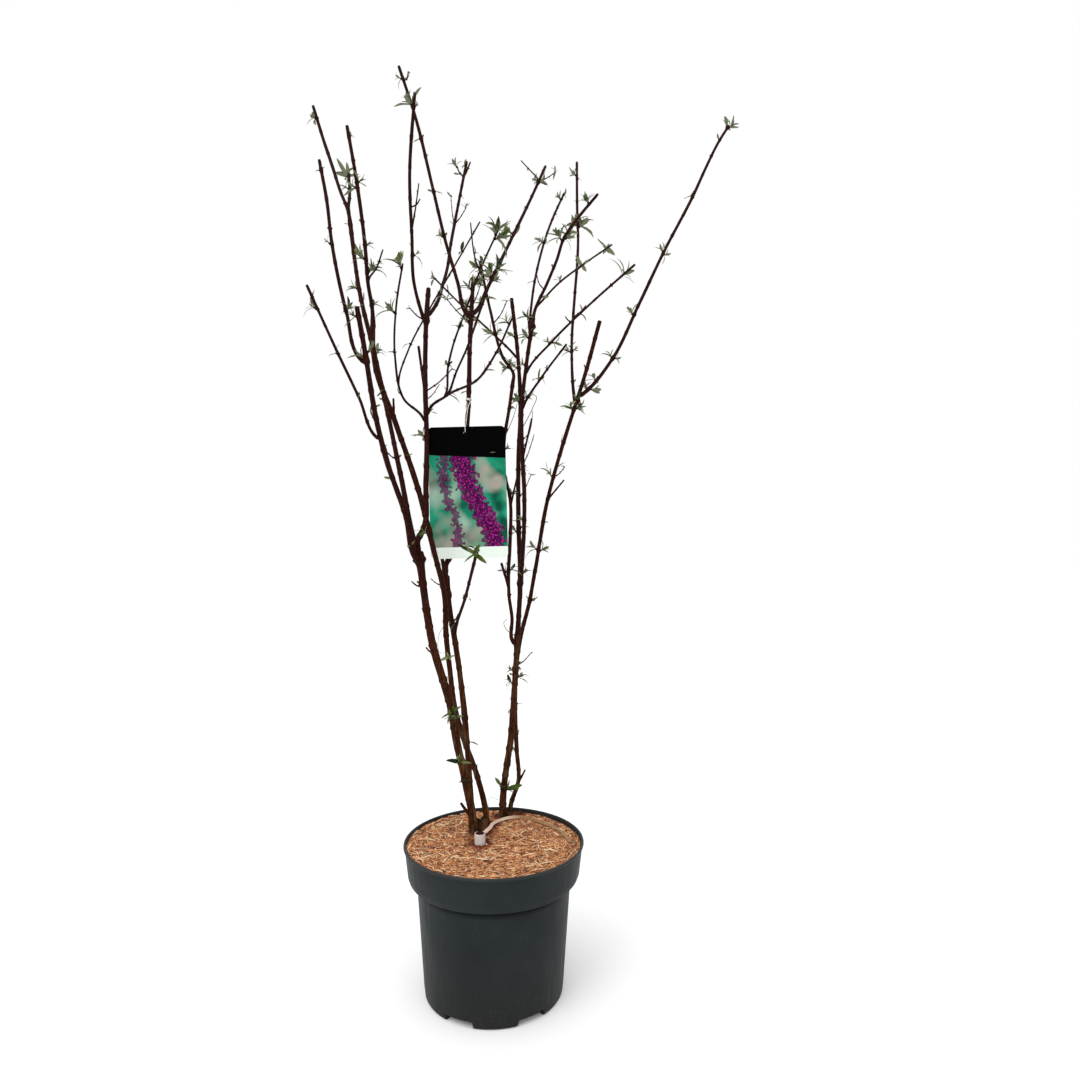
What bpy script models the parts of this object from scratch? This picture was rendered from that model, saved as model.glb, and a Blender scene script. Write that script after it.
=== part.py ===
"""A butterfly bush in a nursery pot, in early spring: metres, +Z up, the front is -Y.

The origin is the middle of the pot's flat underside. Old canes rise from bark mulch, end in
pruned knobs and fork into boughs. Each young shoot on a bough is one foliage mass: a stem,
its side twigs and its pairs of leaves, grown by one seeded rule and fused into one solid.
"""

import math
import random
from collections import namedtuple

import bmesh
import bpy
import numpy as np
from mathutils import Matrix, Vector

CM = 0.01
MM = 0.001
CLEARANCE = 0.3 * MM

# The pot
POT_HEIGHT = 26.0 * CM
RIM_RADIUS = 15.7 * CM
BASE_RADIUS = 12.05 * CM
COLLAR_FOOT_HEIGHT = 19.7 * CM
COLLAR_FOOT_RADIUS = 14.8 * CM
NECK_RADIUS = 13.4 * CM
LIP_HEIGHT = 4.0 * MM
LIP_WIDTH = 1.5 * MM
POT_WALL = 2.6 * MM
POT_STEPS = 36
FEET = 6
FIRST_CHANNEL_ANGLE = math.radians(-55.5)
CHANNEL_HALF_ANGLE = math.radians(12.2)
CHANNEL_HEIGHT = 10.0 * MM
CHANNEL_INNER_RADIUS = 7.5 * CM
DRAIN_HOLE_RADIUS = 7.0 * MM
DRAIN_HOLE_REACH = 10.0 * CM

# The mulch
MULCH_TOP = POT_HEIGHT - 5.0 * MM
MULCH_EDGE_DROP = 4.0 * MM
MULCH_EDGE_WIDTH = 6.0 * MM

# The picture label and what lies at the foot of the canes
CARD_SIZE = (13.6 * CM, 23.1 * CM, 0.6 * MM)
CARD_CENTRE = (-4.62 * CM, 0.30 * CM, 86.85 * CM)
CARD_TILT = math.radians(-1.4)
CARD_CORNER = 8.0 * MM
CARD_HOLE_RADIUS = 3.0 * MM
CARD_HOLE_DROP = 11.0 * MM
CARD_HOLE_SHIFT = -2.0 * MM
LOOP_RADIUS = 0.6 * MM
LOOP_TOP = 103.4 * CM
LOOP_SLACK = 0.9 * MM
SLEEVE_PLACE = (-2.4 * CM, -1.2 * CM)
SLEEVE_RADIUS = 9.5 * MM
SLEEVE_WALL = 1.3 * MM
SLEEVE_HEIGHT = 19.0 * MM
STRAP_ROUTE = ((-0.6, 6.2), (0.5, 8.6), (2.9, 10.4), (5.4, 10.3), (8.7, 7.8), (11.8, 4.0), (13.4, -0.6))
STRAP_SIZE = (7.0 * MM, 1.0 * MM)

# How shoots are set with twigs and leaves
LIMB_STEP = 4.6 * CM
SHOOT_STEP = 5.0 * CM
LOW_INTERNODE = 6.4 * CM
TIP_INTERNODE = 3.4 * CM
LEAF_LENGTHS = (20.0 * MM, 38.0 * MM)
LEAF_WIDTH_SHARE = 0.24
LEAF_THICKNESS_SHARE = 0.045
LEAF_WIDEST = 0.42
LEAF_ARCH_SHARE = 0.06
LEAVES_ON_A_BUD = (1, 1, 2)
TUFT_FAN = 0.75
TUFT_RISE = (0.25, 0.9)
TWIG_LENGTHS = (2.4 * CM, 5.5 * CM)
TWIG_RADIUS = 0.9 * MM
TWIG_BEND = (0.45, 0.30)
TWIG_END = (0.70, 0.85)
BARE_BUD_SHARE = 0.42
TWIG_BUD_SHARE = 0.16
KEEP_CLEAR = 1.2 * MM

# How a limb swells at its foot and at a pruned knob
GROUND_FLARE = 0.4
FORK_FLARE = 0.15
FLARE_REACH = 1.6 * CM
KNOB_REACH = 2.4 * CM

# A limb runs from its start to its tip: thick and thin are its radii there in millimetres, and
# the route's points are centimetres. It starts on the mulch, on its parent's tip, or at a height
# on its parent's side, and then the route holds only the points that follow.
Limb = namedtuple("Limb", "name parent start thick thin knob route")
CANES = (
    Limb("left_cane", "mulch", None, 6.8, 5.6, 0.45,
         ((-3.9, 3.2), (-5.3, 2.4, 35.5), (-6.6, 1.5, 42), (-7.7, 0.5, 49), (-10.5, -2, 60.5),
          (-12.6, -4, 76.5))),
    Limb("middle_cane", "mulch", None, 5.2, 4.3, 0.45,
         ((-4.5, 5.7), (-5.0, 5.6, 36.5), (-5.8, 5.5, 47), (-6.9, 5.1, 56.5), (-8.4, 4.4, 66.5),
          (-9.0, 4, 72))),
    Limb("crossing_cane", "mulch", None, 5.0, 3.4, 0.1,
         ((-1.9, 7.4), (-3.4, 8.2, 33.5), (-6.2, 8, 41.5), (-7.6, 7, 47), (-8.5, 5.8, 55),
          (-8.8, 3, 61.5), (-8.6, 0, 68), (-9.8, -6, 77), (-11.9, -9, 87), (-15.6, -9.5, 98),
          (-18.7, -10, 107), (-19, -10, 114.5))),
    Limb("right_cane", "mulch", None, 5.8, 4.6, 0.3,
         ((0.9, 11.3), (1.2, 10.4, 31.5), (2.6, 8, 41.5), (3.5, 6, 53.5), (4, 5, 61.5))),
    Limb("thin_cane", "mulch", None, 3.6, 3.2, 0,
         ((2.3, 13.6), (3.9, 13.2, 32), (3.6, 12.2, 38), (3.4, 11, 44), (3.7, 10.8, 55.5),
          (4.5, 11, 60.5), (5.9, 12, 66), (7.1, 13, 72.5), (9.7, 14.3, 87), (12.5, 15, 97),
          (15.2, 15, 105.5), (16.8, 14, 110.5), (19.4, 11, 120))),
)
BOUGHS = (
    Limb("left_outer_bough", "left_cane", 75.3, 4.2, 3.2, 0,
         ((-14.1, -7, 82), (-16.3, -12, 91), (-17.3, -15, 97), (-18.2, -19, 107), (-18.9, -21, 113))),
    Limb("left_inner_bough", "left_cane", 75.9, 4.0, 3.2, 0.1,
         ((-16.4, 0, 90), (-18.7, 2, 99.5), (-21.8, 4, 112), (-24.6, 5, 123), (-27.0, 7, 137.5))),
    Limb("centre_bough", "left_cane", "tip", 4.4, 3.6, 0,
         ((-11.8, -3.4, 80.5), (-11.6, -2.2, 88), (-11.7, -0.6, 96.5), (-12.1, 0.6, 104),
          (-12.1, 2, 118.5), (-11.9, 3, 123.5))),
    Limb("label_bough", "middle_cane", "tip", 4.0, 3.3, 0,
         ((-7.5, 3.5, 76.5), (-6, 1.5, 87.5), (-4.7, 1.5, 101), (-4.6, 4, 113.5), (-4.5, 6, 120.5),
          (-4.3, 8, 127.2))),
    Limb("right_front_bough", "right_cane", 59.6, 2.9, 2.5, 0.2,
         ((3.0, 3.6, 64.4), (2.5, 3.1, 68.5), (2.4, 2.7, 72), (2.7, 2, 78), (2.7, 2, 86),
          (1.6, 2.4, 91), (1.7, 2.4, 96.5), (2.6, 2, 102), (3.3, 2, 107))),
    Limb("right_inner_bough", "right_cane", "tip", 4.2, 2.9, 0,
         ((4.4, 7.6, 71.5), (4, 9.6, 82), (4, 9.4, 93.5), (4.4, 7.8, 104), (4, 8.2, 112), (2.8, 7, 123))),
    Limb("right_outer_bough", "right_inner_bough", 70.5, 3.5, 3.1, 0.2,
         ((5.0, 4.6, 77), (5.2, 4.6, 87), (4.8, 4.6, 95), (4.7, 5.4, 102), (5.5, 8.4, 111),
          (6.8, 11, 120.6))),
)

# A mass is one shoot with the arms that fork off it. An arm leaves the stem at a height.
Mass = namedtuple("Mass", "name parent start thick thin route arms")
Arm = namedtuple("Arm", "start thick thin route")
MASSES = (
    Mass("far_left_shoot", "left_outer_bough", 105.4, 2.4, 2.1,
         ((-20.4, -21, 112), (-22.3, -22, 122), (-23.0, -22, 128), (-24.1, -22, 134)), ()),
    Mass("low_left_shoot", "left_outer_bough", 94.6, 1.9, 1.6,
         ((-19.2, -18.4, 100), (-21.1, -23, 105.5), (-23.8, -29, 113.5)), ()),
    Mass("upper_left_shoot", "left_inner_bough", "tip", 2.8, 2.4,
         ((-29.2, 8.6, 143.6), (-30.9, 9.4, 148.6), (-32.7, 10, 153.8), (-34.6, 10, 160)),
         (Arm(138.6, 2.6, 2.3, ((-27.5, 9, 142.5), (-28.4, 12, 148.2))),)),
    Mass("crossing_shoot", "crossing_cane", "tip", 2.8, 2.2,
         ((-19.6, -10.8, 120), (-19.9, -11.4, 125.5), (-20.8, -13, 134.8), (-22.1, -14, 143.3)),
         (Arm(119.6, 1.2, 0.9, ((-17.6, -12.5, 122.5), (-16.2, -14, 125.8))),)),
    Mass("centre_shoot", "centre_bough", 117.0, 2.6, 2.3,
         ((-13.8, -1, 123), (-13.5, -5, 129.5), (-13, -10, 137.5), (-11.5, -14, 148.5)), ()),
    Mass("back_centre_shoot", "centre_bough", 118.6, 2.7, 2.3,
         ((-10.5, 5, 121.8), (-10.0, 7.4, 125.3), (-9.4, 10, 129.5), (-9.2, 13, 134.5), (-8, 16, 144),
          (-6.5, 18, 153.5)),
         (Arm(149.6, 1.2, 0.9, ((-7.8, 17.3, 150.9), (-8.4, 17.5, 152.4))),)),
    Mass("front_left_shoot", "centre_bough", 99.2, 1.7, 1.1,
         ((-15, -4.5, 102.4), (-15.6, -9, 108.5), (-14.4, -14, 115.5), (-12.5, -19, 120)),
         (Arm(104.4, 1.2, 0.8, ((-13.5, -8, 110), (-9.6, -11.4, 115.5), (-4.8, -16, 121.2),
                                (-0.7, -22, 125))),)),
    Mass("front_shoot", "centre_bough", 100.4, 2.0, 1.1,
         ((-8, -4, 102.9), (-1.4, -12, 104.6), (1.3, -16, 107.4), (4, -22, 111)),
         (Arm(102.8, 1.5, 1.1, ((-7.6, -3.8, 107.8), (-6.7, -4.4, 111.3), (-4.5, -6, 116.5),
                                (-1.5, -9, 123), (1.5, -13, 127.5))),
          Arm(103.0, 1.5, 1.4, ((-6, -6.5, 106.2), (-3.65, -11, 109.4), (-1.1, -16, 114),
                                (1.3, -20.5, 118.3))))),
    Mass("tallest_shoot", "label_bough", 119.0, 2.8, 2.4,
         ((-7, 6.6, 125.5), (-9.5, 7, 134), (-11.6, 6, 143), (-14.5, 4, 155), (-17, 2, 162.5)), ()),
    Mass("back_right_shoot", "label_bough", 120.0, 3.1, 2.5,
         ((-2, 10, 125.5), (2.5, 17, 138), (6.2, 22, 148), (9.2, 26, 156.5)),
         (Arm(152.2, 1.1, 0.8, ((6.0, 24.3, 154.8), (4.1, 24.6, 157))),)),
    Mass("label_twig", "middle_cane", 61.5, 2.4, 2.2,
         ((-4.8, -3, 68.5), (-3.3, -7.4, 73), (-1.9, -11, 77.5)), ()),
    Mass("right_front_shoot", "right_front_bough", "tip", 2.3, 1.9,
         ((1.6, 0.8, 110.5), (-0.5, -2, 118), (-2.1, -5, 125.5)),
         (Arm(121.5, 1.0, 0.7, ((-2.7, -7.4, 125.2), (-3, -12, 129))),)),
    Mass("long_back_shoot", "right_inner_bough", 112.4, 1.7, 1.4,
         ((-1.7, 12, 118.5), (-7.6, 17.5, 125), (-14, 23, 132.5)), ()),
    Mass("right_back_shoot", "right_outer_bough", 118.6, 2.0, 1.9,
         ((6.5, 14.4, 125), (8.8, 20, 138), (10.9, 24.5, 145.5), (13.2, 28, 151.8)), ()),
    Mass("right_shoot", "right_outer_bough", "tip", 2.5, 2.1,
         ((9.5, 9.8, 126.9), (11.2, 9, 130.8), (12.5, 8.2, 134.5), (14.9, 6.6, 137.4), (18.5, 4, 140.8)),
         (Arm(122.0, 1.6, 1.4, ((8.2, 11.8, 123.7), (10.5, 13.2, 126.7), (17, 20, 134),
                                (23.2, 27, 140.5))),)),
    Mass("right_front_twig", "right_outer_bough", 109.2, 1.7, 1.5,
         ((9.9, 3, 113.7), (16.4, -4, 118.4), (23, -13, 122)), ()),
    Mass("short_front_twig", "right_outer_bough", 102.4, 1.7, 1.5,
         ((8, 1.4, 106.8), (12.5, -5, 111.5)), ()),
    Mass("upright_right_shoot", "thin_cane", 105.2, 2.5, 2.4,
         ((14.4, 19, 115.5), (15.3, 25, 129.5), (15.9, 27.4, 136.5), (16.2, 29.6, 143), (16.1, 31, 148.5),
          (16.1, 33, 160.8)), ()),
    Mass("far_right_shoot", "thin_cane", 106.6, 3.0, 2.3,
         ((22, 15.6, 113.5), (27.4, 16, 124.5), (32.4, 15.6, 135), (37.9, 15, 145.5), (40.4, 15, 151),
          (42.9, 15, 156), (44.8, 15, 159)), ()),
)

# Pruned stubs and dead twigs: the limb, the height where it leaves, its radius in millimetres,
# and its tip in centimetres.
Stub = namedtuple("Stub", "limb start radius tip")
STUBS = (
    Stub("left_cane", 74.2, 2.0, (-12.3, -6.0, 79.4)),
    Stub("middle_cane", 68.0, 3.0, (-9.6, 1.8, 77.0)),
    Stub("middle_cane", 70.6, 2.0, (-9.0, 6.2, 74.6)),
    Stub("crossing_cane", 98.2, 1.3, (-15.4, -11.4, 101.2)),
    Stub("centre_bough", 103.6, 1.9, (-13.6, 2.4, 113)),
    Stub("right_front_bough", 70.0, 1.7, (1.2, 1.4, 74.4)),
    Stub("right_front_bough", 84.6, 1.2, (4.0, 0.2, 89.4)),
    Stub("right_outer_bough", 93.0, 1.3, (6.6, 1.4, 100)),
    Stub("thin_cane", 31.2, 1.3, (5.2, 12.2, 34.3)),
    Stub("thin_cane", 86.2, 1.3, (12.6, 11.2, 89.8)),
)

# Tufts of leaves straight on an old limb: the limb, the height, and the way they point round it.
Tuft = namedtuple("Tuft", "limb start bearing leaves")
TUFTS = (
    Tuft("left_cane", 37.6, 200, 2), Tuft("left_cane", 44.6, 160, 3), Tuft("left_cane", 54.0, 30, 2),
    Tuft("left_cane", 66.5, 190, 2), Tuft("middle_cane", 41.5, 330, 2), Tuft("middle_cane", 52.6, 350, 3),
    Tuft("middle_cane", 63.0, 150, 2), Tuft("crossing_cane", 59.0, 20, 2),
    Tuft("crossing_cane", 92.0, 300, 2),
    Tuft("right_cane", 33.0, 270, 3), Tuft("right_cane", 44.0, 180, 2), Tuft("right_cane", 52.2, 200, 3),
    Tuft("thin_cane", 45.6, 350, 3), Tuft("thin_cane", 54.4, 20, 2), Tuft("thin_cane", 66.2, 170, 3),
    Tuft("thin_cane", 75.0, 10, 3), Tuft("thin_cane", 88.0, 160, 4), Tuft("thin_cane", 104.6, 320, 3),
    Tuft("centre_bough", 97.4, 180, 3), Tuft("left_outer_bough", 88.6, 230, 2),
    Tuft("left_outer_bough", 107.6, 200, 3), Tuft("left_inner_bough", 107.5, 10, 2),
    Tuft("left_inner_bough", 118.5, 190, 3), Tuft("right_front_bough", 74.0, 200, 2),
    Tuft("right_inner_bough", 80.6, 100, 3), Tuft("right_inner_bough", 104.0, 120, 2),
    Tuft("right_inner_bough", 116.0, 200, 3), Tuft("right_outer_bough", 82.0, 340, 2),
    Tuft("label_bough", 109.5, 10, 3), Tuft("label_bough", 124.6, 190, 3),
)

COLOURS = {
    "pot": (0.045, 0.054, 0.056),
    "mulch": (0.50, 0.26, 0.14),
    "old_bark": (0.16, 0.09, 0.055),
    "young_bark": (0.075, 0.032, 0.022),
    "foliage": (0.25, 0.32, 0.17),
    "card": (0.12, 0.42, 0.40),
    "white_plastic": (0.80, 0.78, 0.74),
    "strap": (0.48, 0.40, 0.30),
}


def clear_scene():
    for item in list(bpy.data.objects):
        bpy.data.objects.remove(item, do_unlink=True)


def new_collection(name, hidden=False):
    made = bpy.data.collections.new(name)
    bpy.context.scene.collection.children.link(made)
    made.hide_render = hidden
    return made


def finish(item, colour, roughness=0.7, metallic=0.0):
    """Gives an object its own material."""
    material = bpy.data.materials.new(item.name)
    material.use_nodes = True
    shader = material.node_tree.nodes["Principled BSDF"]
    shader.inputs["Base Color"].default_value = (*COLOURS[colour], 1)
    shader.inputs["Roughness"].default_value = roughness
    shader.inputs["Metallic"].default_value = metallic
    item.data.materials.clear()
    item.data.materials.append(material)


def mesh_object(name, form, collection):
    """Closes a bmesh into an object with its faces pointing out."""
    bmesh.ops.recalc_face_normals(form, faces=form.faces)
    if form.calc_volume(signed=True) < 0:
        bmesh.ops.reverse_faces(form, faces=form.faces)
    mesh = bpy.data.meshes.new(name)
    form.to_mesh(mesh)
    form.free()
    item = bpy.data.objects.new(name, mesh)
    collection.objects.link(item)
    return item


def settled_mesh(item):
    """The object's mesh as its modifiers leave it."""
    graph = bpy.context.evaluated_depsgraph_get()
    return bpy.data.meshes.new_from_object(item.evaluated_get(graph))


def apply_modifiers(item):
    mesh = settled_mesh(item)
    item.modifiers.clear()
    item.data = mesh


def boolean(item, other, operation):
    """Cuts or joins one object, or every object of a collection, and applies the result."""
    modifier = item.modifiers.new(operation.lower(), "BOOLEAN")
    modifier.operation = operation
    modifier.solver = "EXACT"
    if isinstance(other, bpy.types.Collection):
        modifier.operand_type = "COLLECTION"
        modifier.collection = other
    else:
        modifier.object = other
    apply_modifiers(item)


def empty_collection(collection):
    for item in list(collection.objects):
        bpy.data.objects.remove(item, do_unlink=True)


def turned(name, profile, collection, steps=POT_STEPS):
    """A solid of revolution about Z. The profile runs from the top of the axis to its foot."""
    form = bmesh.new()
    points = [form.verts.new((radius, 0, height)) for radius, height in profile]
    for upper, lower in zip(points, points[1:]):
        form.edges.new((upper, lower))
    mesh = bpy.data.meshes.new(name)
    form.to_mesh(mesh)
    form.free()
    item = bpy.data.objects.new(name, mesh)
    collection.objects.link(item)
    screw = item.modifiers.new("turn", "SCREW")
    screw.steps = steps
    screw.render_steps = steps
    screw.use_merge_vertices = True
    screw.merge_threshold = 0.00001
    apply_modifiers(item)
    return item


def smooth_shading(item, degrees=35):
    item.data.shade_smooth()
    item.data.set_sharp_from_angle(angle=math.radians(degrees))


# Pot and mulch


def pot_profile(inset, floor, top):
    """The pot's outline from the axis at its top to the axis at its floor, drawn in by inset."""
    taper = (NECK_RADIUS - BASE_RADIUS) / COLLAR_FOOT_HEIGHT
    collar_taper = (RIM_RADIUS - LIP_WIDTH - COLLAR_FOOT_RADIUS) / (POT_HEIGHT - COLLAR_FOOT_HEIGHT)
    shelf = COLLAR_FOOT_HEIGHT + inset
    depth = COLLAR_FOOT_RADIUS - NECK_RADIUS
    outline = [(0, top)]
    if inset:
        outline.append((COLLAR_FOOT_RADIUS - inset + collar_taper * (top - shelf - 0.6 * depth), top))
    else:
        lip = (RIM_RADIUS, top - LIP_HEIGHT)
        outline += [(RIM_RADIUS - 0.4 * LIP_WIDTH, top), (RIM_RADIUS, top - 0.3 * LIP_HEIGHT), lip]
        outline.append((RIM_RADIUS - LIP_WIDTH, top - LIP_HEIGHT - LIP_WIDTH))
    outline.append((COLLAR_FOOT_RADIUS - inset, shelf + 0.6 * depth))
    for turn in (15, 45, 75):
        bend = math.radians(turn)
        outline.append((COLLAR_FOOT_RADIUS - inset - 0.6 * depth * (1 - math.cos(bend)),
                        shelf + 0.6 * depth * (1 - math.sin(bend))))
    outline.append((NECK_RADIUS - inset, shelf - 0.1 * depth))
    outline.append((BASE_RADIUS + taper * floor - inset, floor))
    outline.append((0, floor))
    return outline


def channel_wedges(grow, reach, collection):
    """The six drainage channels under the pot, wider and higher by grow."""
    for index in range(FEET):
        form = bmesh.new()
        bmesh.ops.create_cube(form, size=1)
        for corner in form.verts:
            radius = reach if corner.co.x > 0 else CHANNEL_INNER_RADIUS - grow
            side = math.copysign(radius * math.tan(CHANNEL_HALF_ANGLE) + grow, corner.co.y)
            height = CHANNEL_HEIGHT + grow if corner.co.z > 0 else -CHANNEL_HEIGHT
            corner.co = (radius, side, height)
        turn = Matrix.Rotation(FIRST_CHANNEL_ANGLE + index * math.tau / FEET, 4, "Z")
        bmesh.ops.transform(form, matrix=turn, verts=form.verts)
        mesh_object(f"channel_{index}", form, collection)


def pot_form(name, inset, floor, top, collection, cutters):
    """The pot's own shape, drawn in by inset, with its channels pressed up into it."""
    form = turned(name, pot_profile(inset, floor, top), collection)
    channel_wedges(inset, RIM_RADIUS, cutters)
    boolean(form, cutters, "DIFFERENCE")
    empty_collection(cutters)
    return form


def make_pot(parts, cutters):
    pot = pot_form("pot", 0, 0, POT_HEIGHT, parts, cutters)
    spare = new_collection("pot_hollow", hidden=True)
    hollow = pot_form("hollow", POT_WALL, POT_WALL, POT_HEIGHT + POT_WALL, spare, cutters)
    boolean(pot, hollow, "DIFFERENCE")
    empty_collection(spare)
    for index in range(FEET):
        form = bmesh.new()
        bmesh.ops.create_cone(form, cap_ends=True, segments=16, radius1=DRAIN_HOLE_RADIUS,
                              radius2=DRAIN_HOLE_RADIUS, depth=4 * POT_WALL)
        angle = FIRST_CHANNEL_ANGLE + index * math.tau / FEET
        place = Vector((DRAIN_HOLE_REACH * math.cos(angle), DRAIN_HOLE_REACH * math.sin(angle),
                        CHANNEL_HEIGHT + POT_WALL / 2))
        bmesh.ops.translate(form, vec=place, verts=form.verts)
        mesh_object(f"drain_{index}", form, cutters)
    boolean(pot, cutters, "DIFFERENCE")
    empty_collection(cutters)
    finish(pot, "pot", roughness=0.55)
    smooth_shading(pot)


def make_mulch(parts, cutters):
    """The filling: the pot's hollow 0.3 mm smaller, its top edge a little lower than its middle."""
    inset = POT_WALL + CLEARANCE
    mulch = pot_form("mulch", inset, POT_WALL + CLEARANCE, MULCH_TOP - MULCH_EDGE_DROP, parts, cutters)
    form = bmesh.new()
    bmesh.ops.create_cone(form, cap_ends=True, segments=POT_STEPS, depth=2 * MULCH_EDGE_DROP,
                          radius1=RIM_RADIUS - inset - MULCH_EDGE_WIDTH - 2 * LIP_WIDTH,
                          radius2=RIM_RADIUS - inset - 3 * MULCH_EDGE_WIDTH)
    bmesh.ops.translate(form, vec=(0, 0, MULCH_TOP - MULCH_EDGE_DROP), verts=form.verts)
    crown = mesh_object("mulch_crown", form, cutters)
    boolean(mulch, crown, "UNION")
    empty_collection(cutters)
    finish(mulch, "mulch", roughness=0.95)


# Routes of limbs and shoots


def smooth_route(points, step):
    """A smooth line through the points, as an array of places about one step apart."""
    points = np.array(points, float)
    spans = np.linalg.norm(np.diff(points, axis=0), axis=1)
    slopes = np.diff(points, axis=0) / spans[:, None]
    tangents = np.empty_like(points)
    tangents[0] = slopes[0]
    tangents[-1] = slopes[-1]
    share = (spans[:-1] / (spans[:-1] + spans[1:]))[:, None]
    tangents[1:-1] = slopes[:-1] * (1 - share) + slopes[1:] * share
    t = np.linspace(0, 1, 17)[:-1, None]
    fine = []
    for index, span in enumerate(spans):
        fine.append((2 * t**3 - 3 * t**2 + 1) * points[index]
                    + (t**3 - 2 * t**2 + t) * span * tangents[index]
                    + (3 * t**2 - 2 * t**3) * points[index + 1]
                    + (t**3 - t**2) * span * tangents[index + 1])
    fine = np.vstack(fine + [points[-1:]])
    along = np.concatenate([[0], np.cumsum(np.linalg.norm(np.diff(fine, axis=0), axis=1))])
    count = max(3, round(along[-1] / step) + 1)
    wanted = np.linspace(0, along[-1], count)
    return np.stack([np.interp(wanted, along, fine[:, axis]) for axis in range(3)], axis=1)


class Stem:
    """A tapering limb: its centre line, the radius at each place, and where it is at a height."""

    def __init__(self, points, thick, thin, knob=0.0, flare=0.0, step=SHOOT_STEP):
        self.places = np.vstack([points[0], smooth_route(points[1:], step)])
        lengths = np.linalg.norm(np.diff(self.places, axis=0), axis=1)
        self.along = np.concatenate([[0], np.cumsum(lengths)])
        self.length = self.along[-1]
        share = self.along / self.length
        self.radii = MM * (thick + (thin - thick) * share)
        self.radii *= 1 + flare * np.exp(-self.along / FLARE_REACH)
        self.radii *= 1 + knob * np.exp(-((self.along - self.length) / KNOB_REACH) ** 2)

    def at(self, distance):
        """Place, direction and radius at a distance along the stem."""
        place = np.array([np.interp(distance, self.along, self.places[:, axis]) for axis in range(3)])
        index = int(np.clip(np.searchsorted(self.along, distance), 1, len(self.along) - 1))
        direction = self.places[index] - self.places[index - 1]
        radius = float(np.interp(distance, self.along, self.radii))
        return place, direction / np.linalg.norm(direction), radius

    def at_height(self, height):
        """The distance along the stem of a height, which rises all the way."""
        return float(np.interp(height, self.places[:, 2], self.along))


def unit(vector):
    return vector / np.linalg.norm(vector)


def side_start(parent, height, toward, radius):
    """Two points that lead off a stem's side at a height, square to it, towards a place."""
    place, direction, girth = parent.at(parent.at_height(height))
    out = toward - place
    out = unit(out - direction * out.dot(direction))
    foot = place + out * (girth + CLEARANCE)
    return [foot, foot + out * radius, foot + out * 2.2 * radius + direction * 2.4 * radius]


def tip_start(parent):
    """Two points that carry on from a stem's tip."""
    place, direction, girth = parent.at(parent.length)
    foot = place + direction * CLEARANCE
    return [foot, foot + direction * 2 * girth]


def limb_stem(limb, stems, step):
    """The stem of a limb or a mass, led from where it starts through its route."""
    tail = [np.array(point) * CM for point in limb.route if len(point) == 3]
    if limb.parent == "mulch":
        ground = np.array([limb.route[0][0] * CM, limb.route[0][1] * CM, MULCH_TOP + CLEARANCE])
        head = [ground, ground + np.array([0, 0, 1.0 * CM])]
    elif limb.start == "tip":
        head = tip_start(stems[limb.parent])
    else:
        head = side_start(stems[limb.parent], limb.start * CM, tail[0], limb.thick * MM)
    knob = getattr(limb, "knob", 0.0)
    flare = GROUND_FLARE if limb.parent == "mulch" else FORK_FLARE
    return Stem(head + tail, limb.thick, limb.thin, knob, flare, step)


def tube(name, places, radii, collection, sides):
    """A closed tapering tube as a mesh object, from a curve with a bevel and filled caps."""
    data = bpy.data.curves.new(name, "CURVE")
    data.dimensions = "3D"
    data.bevel_depth = 1
    data.bevel_resolution = (sides - 4) // 2
    data.use_fill_caps = True
    spline = data.splines.new("POLY")
    spline.points.add(len(places) - 1)
    for point, place, radius in zip(spline.points, places, radii):
        point.co = (*place, 1)
        point.radius = radius
    curve = bpy.data.objects.new(name, data)
    collection.objects.link(curve)
    form = bmesh.new()
    mesh = settled_mesh(curve)
    form.from_mesh(mesh)
    bmesh.ops.transform(form, matrix=curve.matrix_world, verts=form.verts)
    bmesh.ops.remove_doubles(form, verts=form.verts, dist=0.00001)
    bpy.data.meshes.remove(mesh)
    bpy.data.objects.remove(curve, do_unlink=True)
    return mesh_object(name, form, collection)


# Leaves and twigs


class Crowding:
    """Keeps the places that limbs and leaves fill, so that a new one can be kept clear of them."""

    def __init__(self):
        self.places = {}

    def add(self, owner, places, radii):
        self.places.setdefault(owner, []).append(np.column_stack([places, radii]))

    def add_stem(self, owner, stem):
        count = max(2, int(stem.length / (4 * MM)))
        wanted = np.linspace(0, stem.length, count)
        places = [np.interp(wanted, stem.along, stem.places[:, axis]) for axis in range(3)]
        self.add(owner, np.stack(places, axis=1), np.interp(wanted, stem.along, stem.radii))

    def clear_of_others(self, owner, places, radii):
        for other, groups in self.places.items():
            if other == owner:
                continue
            filled = np.vstack(groups)
            apart = np.linalg.norm(filled[None, :, :3] - places[:, None], axis=2)
            if (apart - filled[None, :, 3] - radii[:, None]).min() < KEEP_CLEAR:
                return False
        return True


def leaf(name, root, direction, face, length, collection):
    """A lance-shaped leaf of eight faces: widest before its middle, pointed at both ends."""
    form = bmesh.new()
    bmesh.ops.create_uvsphere(form, u_segments=4, v_segments=2, radius=0.5)
    across = unit(np.cross(direction, face))
    upward = np.cross(direction, across)
    for corner in form.verts:
        share = {-1: 0.0, 0: LEAF_WIDEST, 1: 1.0}[round(2 * corner.co.z)]
        width = 2 * corner.co.x * LEAF_WIDTH_SHARE * length / 2
        thickness = 2 * corner.co.y * LEAF_THICKNESS_SHARE * length / 2
        arch = LEAF_ARCH_SHARE * length * math.sin(math.pi * share)
        corner.co = root + direction * share * length + across * width + upward * (thickness + arch)
    return mesh_object(name, form, collection)


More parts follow.
